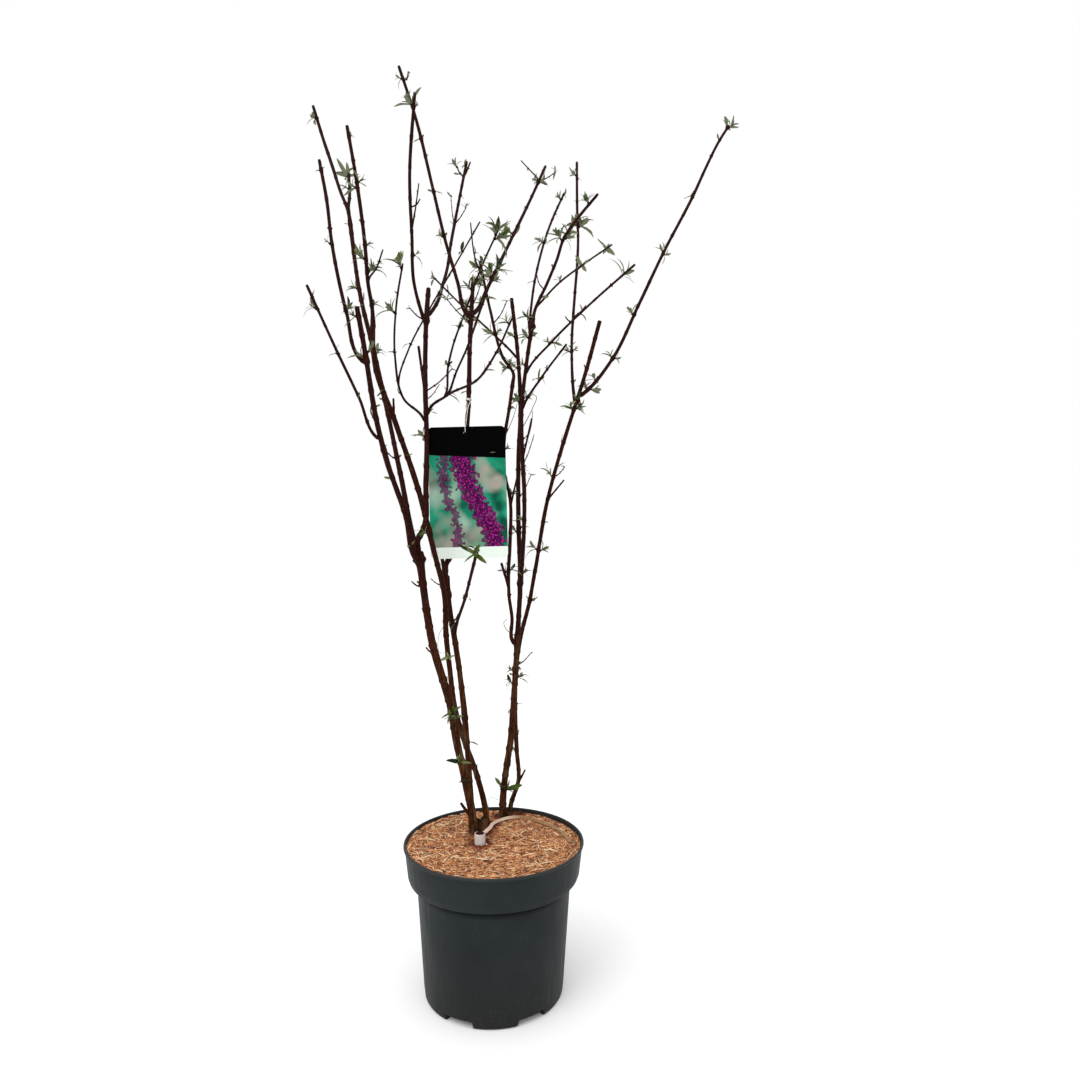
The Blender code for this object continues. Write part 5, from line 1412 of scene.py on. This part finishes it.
def bed_material():
    """Bark mulch in bulk: tan and brown patches with paler crumbs, with painted shade round the stems' feet
    and the sleeve.
    """
    finish = Finish("mulch_bed", (0.16, 0.065, 0.032), 0.95)
    patches = finish.use(MOTTLE, Scale=210.0, Low=0.38, High=0.62)
    crumbs = finish.use(MOTTLE, Scale=900.0, Low=0.45, High=0.60)
    colour = mix(patches["Mask"], (0.120, 0.042, 0.018), (0.36, 0.135, 0.055))
    colour = mix(crumbs["Mask"] * 0.5, colour, (0.50, 0.21, 0.09))
    # Painted shade round the stems' feet and the sleeve
    colour = mix(finish.use(FOOT_SHADE)["Mask"] * 0.92, colour, FOOT_SHADE_COLOUR)
    finish.feed(Base_Color=colour)
    finish.bump(crumbs["Height"], 0.8, 0.8 * MM)
    return finish.material


def make_mulch_bed():
    """A round bed: its top follows mulch_height on rings, its side goes down inside the pot."""
    rings = np.linspace(0.0, MULCH_RADIUS, 110)
    angle = np.radians(np.arange(0, 360, ROUND_STEP))
    x = rings[:, None] * np.cos(angle)
    y = rings[:, None] * np.sin(angle)
    top = np.stack([x, y, mulch_height(x, y)], axis=-1)
    wide, height = np.array(MULCH_SIDE).T[:, :, None] * CM
    side = np.stack([wide * np.cos(angle), wide * np.sin(angle), height + 0 * angle], axis=-1)
    surface = Surface()
    surface.add(np.concatenate([top, side]), [grid_faces(len(rings) + len(side), len(angle))[:, ::-1]])
    bed = surface.piece("mulch_bed", bed_material(), sharp=180)
    dress(welded(bed, 0.005 * MM), "mulch", "mulch")


def turned_by(first, second, angle):
    """Two coordinates of each chip's corners, turned by the chip's own angle."""
    cos = np.cos(angle)[:, None, None]
    sin = np.sin(angle)[:, None, None]
    return first * cos - second * sin, first * sin + second * cos


def chip_blocks(centres, sizes, heading, tilt, roll, taper, bow):
    """Chips as bowed bars of 12 corners: three sections, tapered to both ends, turned into place."""
    section = np.array([[-1, -1], [1, -1], [1, 1], [-1, 1]]) / 2
    along = np.array([-0.5, 0.0, 0.5])
    length, width, thick = sizes.T[:, :, None, None]
    narrow = np.stack([taper, np.ones_like(taper), taper[::-1]], axis=1)[:, :, None]
    x = np.repeat(along[None, :, None] * length, 4, axis=2)
    y = section[None, None, :, 0] * width * narrow
    z = section[None, None, :, 1] * thick * np.minimum(1, narrow + 0.2)
    y = y + (bow[:, None] * np.array([0, 1, 0]))[:, :, None] * length
    y, z = turned_by(y, z, roll)
    x, z = turned_by(x, z, tilt)
    x, y = turned_by(x, y, heading)
    return centres[:, None, None] + np.stack([x, y, z], axis=-1)


CHIP_FACES = np.vstack([grid_faces(3, 4), [(3, 2, 1, 0), (8, 9, 10, 11)]])


def make_chips():
    """Shredded bark strewn over the bed, with straw slivers on top."""
    draw = np.random.default_rng(SEED)
    total = CHIP_COUNT + SLIVER_COUNT
    reach = CHIP_REACH * np.sqrt(draw.uniform(0, 1, total))
    bearing = draw.uniform(0, math.tau, total)
    x = reach * np.cos(bearing)
    y = reach * np.sin(bearing)
    length = np.minimum(draw.gamma(3.0, 2.8 * MM, total) + 2.6 * MM, 24 * MM)
    width = draw.uniform(0.9, 3.0, total) * MM
    thick = draw.uniform(0.3, 1.0, total) * MM
    sliver = np.arange(total) >= CHIP_COUNT
    length[sliver] = draw.uniform(12, 32, sliver.sum()) * MM
    width[sliver] = draw.uniform(1.0, 2.6, sliver.sum()) * MM
    z = mulch_height(x, y) + draw.uniform(-0.6, 1.3, total) * MM + 0.5 * thick
    z[sliver] += 1.0 * MM
    tilt = np.clip(draw.normal(0, 0.11, total), -0.35, 0.35)
    tilt[sliver] *= 0.4
    roll = draw.uniform(-0.6, 0.6, total)
    heading = draw.uniform(0, math.tau, total)
    near_edge = reach > MULCH_EDGE
    heading[near_edge] = bearing[near_edge] + math.pi / 2 + draw.normal(0, 0.35, near_edge.sum())
    outward = reach * np.abs(np.cos(heading - bearing))
    length = np.minimum(length, 2 * (np.sqrt(outward**2 + MULCH_RADIUS**2 - reach**2) - outward))
    taper = draw.uniform(0.15, 0.85, total)
    bow = draw.normal(0, 0.035, total)
    centres = np.stack([x, y, z], axis=1)
    sizes = np.stack([length, width, thick], axis=1)
    blocks = chip_blocks(centres, sizes, heading, tilt, roll, taper, bow)
    shares = np.array([share for _, _, share in CHIP_TINTS])
    kind = np.searchsorted(np.cumsum(shares) / shares.sum(), draw.uniform(0, 1, total))
    kind[sliver] = draw.choice([1, 2, 2], sliver.sum())
    for tint, (name, colour, _) in enumerate(CHIP_TINTS):
        chosen = blocks[kind == tint]
        starts = np.arange(len(chosen))[:, None, None] * 12
        surface = Surface()
        surface.add(chosen, [(CHIP_FACES[None] + starts).reshape(-1, 4)])
        dress(surface.piece(name, chip_material(name, colour), smooth=False), "mulch")


def make_debris():
    """Old crown wood, white grit and a few green moss cushions round the foot of the canes."""
    draw = random.Random(SEED + 1)
    wood = Surface()
    for x, y, lean_x, lean_y, radius, tall in CROWN_STUBS:
        ground = np.array([x * CM, y * CM, MULCH_TOP])
        foot = ground - (0, 0, 7 * MM)
        tip = ground + np.array([lean_x, lean_y, 1]) * tall * MM
        bend = 0.5 * (foot + tip) + (1 * MM, -1 * MM, 0)
        stub = Stem([foot, bend, tip], radius, 0.72 * radius, 0.1, 0.3, 1.5 * MM)
        limb_tube(wood, stub, 26, draw.randrange(10**6), 2.2)
    crown = bark_material("crown_bark", (0.115, 0.052, 0.025), (0.018, 0.006, 0.003),
                          (0.240, 0.130, 0.065), 700, 0.9, moss=0.5)
    dress(wood.piece("crown_wood", crown), "old_bark")
    for name, colour, slot, places, low, high in CRUMBS:
        surface = Surface()
        for x, y, up in places:
            centre = np.array([x * CM, y * CM, 0.0])
            centre[2] = float(mulch_height(centre[0], centre[1])) + up * MM
            size = draw.uniform(low, high) * MM
            ball(surface, centre, size, size, 0.05, 0.28, draw.randrange(10**6))
        dress(surface.piece(name, crumb_material(name, colour), sharp=180), slot)


# Label


def card_place(x, z, y):
    """Points of the card's own plane, x to the right and z up, turned by its tilt into place."""
    cos = math.cos(CARD_TILT)
    sin = math.sin(CARD_TILT)
    return np.stack([x * cos + z * sin, y, z * cos - x * sin], axis=-1) + CARD_CENTRE


def card_outline(half_w, half_h):
    """The card's edge from the right, round each corner and along each side, all in small steps."""
    inset = np.array([half_w - CARD_CORNER, half_h - CARD_CORNER])
    arcs = []
    for turn, signs in enumerate(((1, 1), (-1, 1), (-1, -1), (1, -1))):
        bend = np.radians(90 * turn + np.linspace(0, 90, 9))
        arcs.append(inset * signs + CARD_CORNER * np.stack([np.cos(bend), np.sin(bend)], axis=1))
    share = np.linspace(0, 1, 20)[1:-1, None]
    outline = []
    for turn, bend in enumerate(arcs):
        following = arcs[(turn + 1) % len(arcs)]
        outline += [bend, bend[-1] * (1 - share) + following[0] * share]
    return np.vstack(outline)


def make_card():
    """A card with round corners and a hole.

    Its face is a band between the hole's circle and the outline: at share s of the way out, a point
    is (1 - s) times the circle's plus s times the outline's in the same direction. The front, the
    edge, the back and the hole's wall follow each other in one closed loop of rows.
    """
    half_w = CARD_SIZE[0] / 2
    half_h = CARD_SIZE[1] / 2
    outline = card_outline(half_w, half_h)
    hole = np.array([CARD_HOLE_SHIFT, half_h - CARD_HOLE_DROP])
    circle = hole + CARD_HOLE_RADIUS * unit(outline - hole)
    share = np.array([0, 0.02, 0.06, 0.15, 0.3, 0.45, 0.6, 0.75, 0.9, 1.0])[:, None, None]
    face = circle[None] * (1 - share) + outline[None] * share
    rows = np.concatenate([face, face[::-1], face[:1]])
    side = np.repeat([-1, 1, -1], [len(face), len(face), 1])[:, None] * CARD_SIZE[2] / 2
    bow = 0.5 * MM * ((rows[..., 0] / half_w) ** 2 - 0.5)
    points = card_place(rows[..., 0], rows[..., 1], side + bow)
    surface = Surface()
    surface.add(points, [grid_faces(len(points), len(outline))[:, ::-1]])
    card = surface.piece("picture_label", print_material(), sharp=30)
    printed = rows.reshape(-1, 2) / (2 * np.array([half_w, half_h])) + 0.5
    loops = np.empty(len(card.data.loops), np.int32)
    card.data.loops.foreach_get("vertex_index", loops)
    layer = card.data.uv_layers.new(name="print")
    layer.data.foreach_set("uv", printed[loops].astype(np.float32).ravel())
    dress(welded(card), "card", "label_card")


def blurred_field(place):
    """The background of the picture: soft clouds of four colours over one another."""
    field = (0.008, 0.170, 0.092)
    for scale, offset, low, high, colour in BLURS:
        cloud = noise(vector_maths("ADD", place, (offset, offset, 0)), scale, 1.5)
        field = mix(spread(cloud, low, high), field, colour)
    return field


def florets(field, place, number, scale, reach, level, width, slope):
    """A drift of florets over the field: a bent belt that runs up across the card.

    Each floret is one cell of a scatter. It is drawn whole if its middle lies inside the belt, and
    its edge is a ring of four petals, at 0.8 + 0.2 cos 4a of its size for the angle a.
    """
    shift = (0.37 * number, 0.23 * number, 0)
    moved = vector_maths("ADD", place, shift)
    cells = node(place.tree, "ShaderNodeTexVoronoi", {"Vector": moved, "Scale": scale, "Randomness": 1.0},
                 voronoi_dimensions="2D")
    middle = Value(cells, "Position")
    lot = parts_of(Value(cells, "Color"))
    across, upward, _ = parts_of(vector_maths("SUBTRACT", middle, shift))
    belt = upward * slope + level + maths("SINE", upward * 8.0) * 0.03
    inside = maths("LESS_THAN", maths("ABSOLUTE", across - belt), (lot[0] + 0.25) * width)
    local = vector_maths("SUBTRACT", moved, middle)
    x, y, _ = parts_of(local)
    petal = maths("COSINE", maths("ARCTAN2", y, x) * 4.0 + lot[1] * 6.0) * 0.20 + 0.80
    edge = petal * (lot[1] * (0.4 * reach) + 0.7 * reach)
    away = vector_maths("LENGTH", local, output="Value")
    floret = spread(edge - away, 0.0, 0.0015) * inside
    hue = mix(lot[2], (0.060, 0.001, 0.045), (0.310, 0.008, 0.205))
    hue = mix(spread(away, reach, 0.3 * reach), mix(0.6, hue, (0.02, 0.0005, 0.02)), hue)
    hue = mix(spread(away, 0.20 * reach, 0.10 * reach), hue, (0.50, 0.12, 0.26))
    return mix(floret, mix(inside * 0.75, field, (0.035, 0.001, 0.030)), hue)


def print_material():
    """A generic picture: a plain dark band, a blurred field, drifts of florets and a bare strip.

    The card's back, where the normal points to +Y, is plain white.
    """
    finish = Finish("label_print", (0.1, 0.4, 0.35), 0.45, Specular_IOR_Level=0.02)
    uv = Value(node(finish.tree, "ShaderNodeUVMap", uv_map="print"))
    place = vector_maths("MULTIPLY", uv, (CARD_SIZE[0] / CARD_SIZE[1], 1, 1))
    colour = blurred_field(place)
    for number, drift in enumerate(DRIFTS):
        colour = florets(colour, place, number, *drift)
    across, up, _ = parts_of(uv)
    colour = mix(maths("GREATER_THAN", up, across * -0.035 + 0.790), colour, (0.0004, 0.0004, 0.0004))
    colour = mix(maths("LESS_THAN", up, 0.085), colour, (0.66, 0.73, 0.67))
    normal = Value(node(finish.tree, "ShaderNodeNewGeometry"), "Normal")
    back = maths("GREATER_THAN", parts_of(normal)[1], 0.2)
    finish.feed(Base_Color=mix(back, colour, (0.78, 0.78, 0.76)))
    wear = finish.use(MOTTLE, Scale=150.0, Low=0.4, High=0.7)
    finish.gloss(wear["Height"], 0.26, 0.42)
    return finish.material


def make_loop(stems):
    """The label's thread: round its stem in two turns, down both sides of the card, through the hole."""
    stem = stems["label_bough"]
    (x, y, z), _, girth = stem.at(stem.at_height(LOOP_TOP))
    reach = girth + LOOP_RADIUS + LOOP_SLACK
    hole_x, hole_y, hole_z = card_place(CARD_HOLE_SHIFT, CARD_SIZE[1] / 2 - CARD_HOLE_DROP, 0.0)
    front = hole_y - CARD_SIZE[2] / 2 - LOOP_RADIUS - 0.4 * MM
    back = 2 * hole_y - front
    low = hole_z + CARD_HOLE_RADIUS - 1.5 * LOOP_RADIUS
    high = low + CARD_HOLE_RADIUS - 1.5 * LOOP_RADIUS
    over = hole_z + CARD_HOLE_DROP + 8 * MM
    points = [
        (x, y + reach, z), (x - reach, y, z - 1 * MM), (x - 0.6 * reach, y - reach, z - 5 * MM),
        (hole_x - 1.2 * MM, front, over), (hole_x, front, high), (hole_x, front, low),
        (hole_x, hole_y, low - 0.8 * MM),
        (hole_x, back, low), (hole_x, back, high), (hole_x + 1.4 * MM, back, over),
        (x + 0.6 * reach, y - reach, z - 5 * MM), (x + reach, y, z - 1 * MM), (x, y + reach, z),
    ]
    surface = Surface()
    thread(surface, smooth_route(points, 0.9 * MM), 0.85 * LOOP_RADIUS)
    for lift, phase in ((0.2, 0.0), (1.7, 1.3)):
        angle = np.linspace(0, math.tau * 1.03, 44) + phase
        ring = np.stack([x + reach * np.cos(angle), y + reach * np.sin(angle),
                         z + lift * MM + 0.5 * MM * np.sin(angle)], axis=1)
        thread(surface, ring, 0.85 * LOOP_RADIUS)
    for tip in THREAD_TIPS:
        end = np.array([x, y, z]) + np.array(tip) * MM
        start = np.array([x - 0.3 * reach, y - reach, z])
        tail = smooth_route([start, 0.5 * (start + end) + (0, -1.5 * MM, 1 * MM), end], 0.9 * MM)
        tube(surface, tail, np.linspace(0.8, 0.5, len(tail)) * LOOP_RADIUS, 8)
    knot = np.array([x - 0.2 * reach, y - reach - 0.5 * MM, z - 0.5 * MM])
    ball(surface, knot, 1.7 * MM, 1.5 * MM, 0.08)
    finish = Finish("white_thread", (0.80, 0.79, 0.76), 0.55)
    twist = finish.use(STREAKS, Across=1500.0, Along=1500.0, Low=0.4, High=0.6)
    finish.feed(Base_Color=mix(twist["Mask"], (0.62, 0.61, 0.58), (0.84, 0.83, 0.80)))
    dress(surface.piece("label_thread", finish.material, sharp=180), "white_plastic", "label_loop")


# Sleeve, stump, strap and thread


def turned(surface, profile, place, steps, wobble, seed, cut=0.0):
    """A closed profile turned round Z at a place, a little out of round."""
    profile = np.array(profile, float)
    turns = np.arange(steps) / steps
    angle = turns * math.tau
    rough = cylinder_noise(turns, np.linspace(0, 1, len(profile))[:, None], 5, 0.3, seed)
    radius = profile[:, :1] * (1 + wobble * rough)
    height = np.repeat(profile[:, 1:], steps, axis=1)
    points = np.stack([radius * np.cos(angle), radius * np.sin(angle), height], axis=-1) + (*place, 0)
    surface.add(points, [grid_faces(len(profile), steps)[:, ::-1]], cut)


def make_sleeve():
    """An open white plastic sleeve with a rolled lip."""
    foot = MULCH_TOP - 2 * MM
    top = MULCH_TOP + SLEEVE_HEIGHT
    inner = SLEEVE_RADIUS - SLEEVE_WALL
    crown = arc(SLEEVE_RADIUS - 0.5 * SLEEVE_WALL, top, 0.5 * SLEEVE_WALL, 0.5 * SLEEVE_WALL,
                np.linspace(0, 180, 9))
    outer = [(SLEEVE_RADIUS * (0.97 + 0.03 * s), foot + (top - foot) * s) for s in np.linspace(0, 1, 12)]
    inside = [(inner * (1 - 0.03 * s), top - (top - foot - 4 * MM) * s) for s in np.linspace(0, 1, 8)]
    surface = Surface()
    turned(surface, [(0, foot), *outer, *crown, *inside, (0, foot + 4 * MM)], SLEEVE_PLACE, 96, 0.02, 31)
    finish = Finish("sleeve_plastic", (0.72, 0.69, 0.64), 0.42, Specular_IOR_Level=0.45)
    soil = finish.use(MOTTLE, Scale=260.0, Low=0.50, High=0.68)
    low = 1.0 - finish.height_share(0.256, 0.263)
    soiled = soil["Mask"] * (low * 0.6 + 0.08)
    finish.feed(Base_Color=mix(soiled, (0.56, 0.52, 0.49), (0.22, 0.11, 0.06)))
    finish.bump(soil["Height"], 0.15, 0.3 * MM)
    sleeve = surface.piece("plastic_sleeve", finish.material, sharp=60)
    dress(welded(sleeve), "white_plastic", "base_sleeve")


def make_stump():
    """The dark cut stump inside the sleeve, turned from its foot up to its hollow top."""
    inner = SLEEVE_RADIUS - SLEEVE_WALL
    foot = MULCH_TOP + 3 * MM
    top = MULCH_TOP + SLEEVE_HEIGHT + 2.8 * MM
    profile = [(0, foot), (0.84 * inner, foot), (0.84 * inner, top - 6 * MM), (0.80 * inner, top - 1.8 * MM),
               (0.68 * inner, top - 0.6 * MM), (0.35 * inner, top + 1.0 * MM), (0, top)]
    steps = 48
    surface = Surface()
    cut = np.repeat([0, 0, 0.1, 0.2, 0.2, 0.3, 0.5], steps)
    turned(surface, profile, SLEEVE_PLACE, steps, 0.14, 32, cut)
    bark = bark_material("stump_bark", (0.062, 0.008, 0.004), (0.014, 0.002, 0.001), (0.13, 0.03, 0.015),
                         800, 0.85)
    dress(welded(surface.piece("cut_stump_wood", bark, sharp=60)), "old_bark", "cut_stump")


def signed_power(values, power):
    """Each value's size raised to a power, with its sign kept."""
    return np.sign(values) * np.abs(values) ** power


def make_strap():
    """A flat strap laid in an arc: a rounded section carried along its route, gently wavy.

    It comes down from the sleeve and turns its face a little to the front.
    """
    route = smooth_route([(x * CM, y * CM, 0) for x, y in STRAP_START + STRAP_ROUTE], 1.5 * MM)
    share = np.linspace(0, 1, len(route))
    route[:, 2] = mulch_height(route[:, 0], route[:, 1]) * 0.25 + 0.75 * (MULCH_TOP + 0.6 * MM)
    route[:, 2] += 3.4 * MM + STRAP_LIFT * np.exp(-((share / 0.20) ** 2)) - 2.0 * MM * share**6
    heading = unit(np.gradient(route, axis=0))
    side = unit(np.cross(heading, (0, 0, 1)))
    up = np.cross(side, heading)
    count = 20
    angle = np.arange(count) * math.tau / count
    wide = STRAP_SIZE[0] / 2 * signed_power(np.cos(angle), 0.5)
    tall = STRAP_SIZE[1] / 2 * signed_power(np.sin(angle), 0.8)
    lean = (-0.42 + 0.16 * np.sin(9 * share) + 0.42 * share**4)[:, None]
    across = wide * np.cos(lean) - tall * np.sin(lean)
    rise = wide * np.sin(lean) + tall * np.cos(lean)
    points = route[:, None] + side[:, None] * across[..., None] + up[:, None] * rise[..., None]
    flat = np.vstack([points.reshape(-1, 3), route[0], route[-1]])
    surface = Surface()
    surface.add(flat, [grid_faces(len(route), count)] + fan_caps(len(route), count))
    dress(welded(surface.piece("plastic_strap", strap_material(), sharp=60)), "strap", "strap")


def strap_material():
    """Dusty buff plastic, pale near the sleeve and brown further to the right."""
    finish = Finish("strap_plastic", (0.45, 0.36, 0.27), 0.38, Specular_IOR_Level=0.25)
    right = spread(parts_of(object_place(finish.tree))[0], 0.018, 0.044)
    dusty = finish.use(MOTTLE, Scale=240.0, Low=0.40, High=0.64)
    pale = mix(dusty["Mask"] * 0.4, (0.60, 0.44, 0.33), (0.44, 0.25, 0.14))
    brown = mix(dusty["Mask"], (0.200, 0.105, 0.040), (0.290, 0.155, 0.062))
    finish.feed(Base_Color=mix(right, pale, brown))
    finish.gloss(dusty["Height"], 0.30, 0.60)
    finish.bump(dusty["Height"], 0.2, 0.3 * MM)
    return finish.material


def make_blue_thread():
    """A stray thread that hangs in a loose arch between two canes."""
    surface = Surface()
    thread(surface, smooth_route(np.array(BLUE_THREAD_ROUTE) * CM, 1.0 * MM), 0.42 * MM, 8)
    finish = Finish("blue_thread", (0.22, 0.38, 0.50), 0.6)
    fibre = finish.use(MOTTLE, Scale=1500.0, Low=0.4, High=0.6)
    finish.feed(Base_Color=mix(fibre["Mask"], (0.16, 0.30, 0.42), (0.36, 0.50, 0.60)))
    dress(surface.piece("stray_thread", finish.material, sharp=180), "white_plastic")


# Floor, light and camera


def make_stage():
    """A white floor, a white sky, a soft sun from overhead and two area lights from the front."""
    mesh = bpy.data.meshes.new("floor")
    corners = [(x * FLOOR_REACH, y * FLOOR_REACH, 0) for x, y in ((-1, -1), (1, -1), (1, 1), (-1, 1))]
    mesh.from_pydata(corners, [], [(0, 1, 2, 3)])
    mesh.materials.append(Finish("floor_paper", (0.90, 0.90, 0.90), 0.9).material)
    floor = placed("floor", mesh)
    world = bpy.data.worlds.new("studio")
    bpy.context.scene.world = world
    world.use_nodes = True
    fill(world.node_tree.nodes["Background"], {"Color": (1, 1, 1, 1), "Strength": 1.0})
    sun = bpy.data.lights.new("soft_sun", "SUN")
    sun.energy = 0.9
    sun.angle = math.radians(70)
    placed("soft_sun", sun).rotation_euler = (math.radians(28), math.radians(-22), 0)
    for name, place, size, power in LIGHTS:
        data = bpy.data.lights.new(name, "AREA")
        data.energy = power
        data.size = size
        light = placed(name, data)
        light.location = place
        aim = Vector(LIGHT_AIM) - Vector(place)
        light.rotation_euler = aim.to_track_quat("-Z", "Y").to_euler()


def make_camera():
    """The camera looks along +Y and a little down."""
    data = bpy.data.cameras.new("camera")
    data.lens = CAMERA_LENS
    data.clip_end = 60
    camera = placed("camera", data)
    camera.location = CAMERA_PLACE
    camera.rotation_euler = (math.pi / 2 - CAMERA_DIP, 0, 0)
    bpy.context.scene.camera = camera
    bpy.context.scene.view_settings.view_transform = "Standard"


make_camera()
make_stage()
STEMS = all_stems()
make_plant(STEMS)
make_pot()
make_mulch_bed()
make_chips()
make_debris()
make_card()
make_loop(STEMS)
make_sleeve()
make_stump()
make_strap()
make_blue_thread()
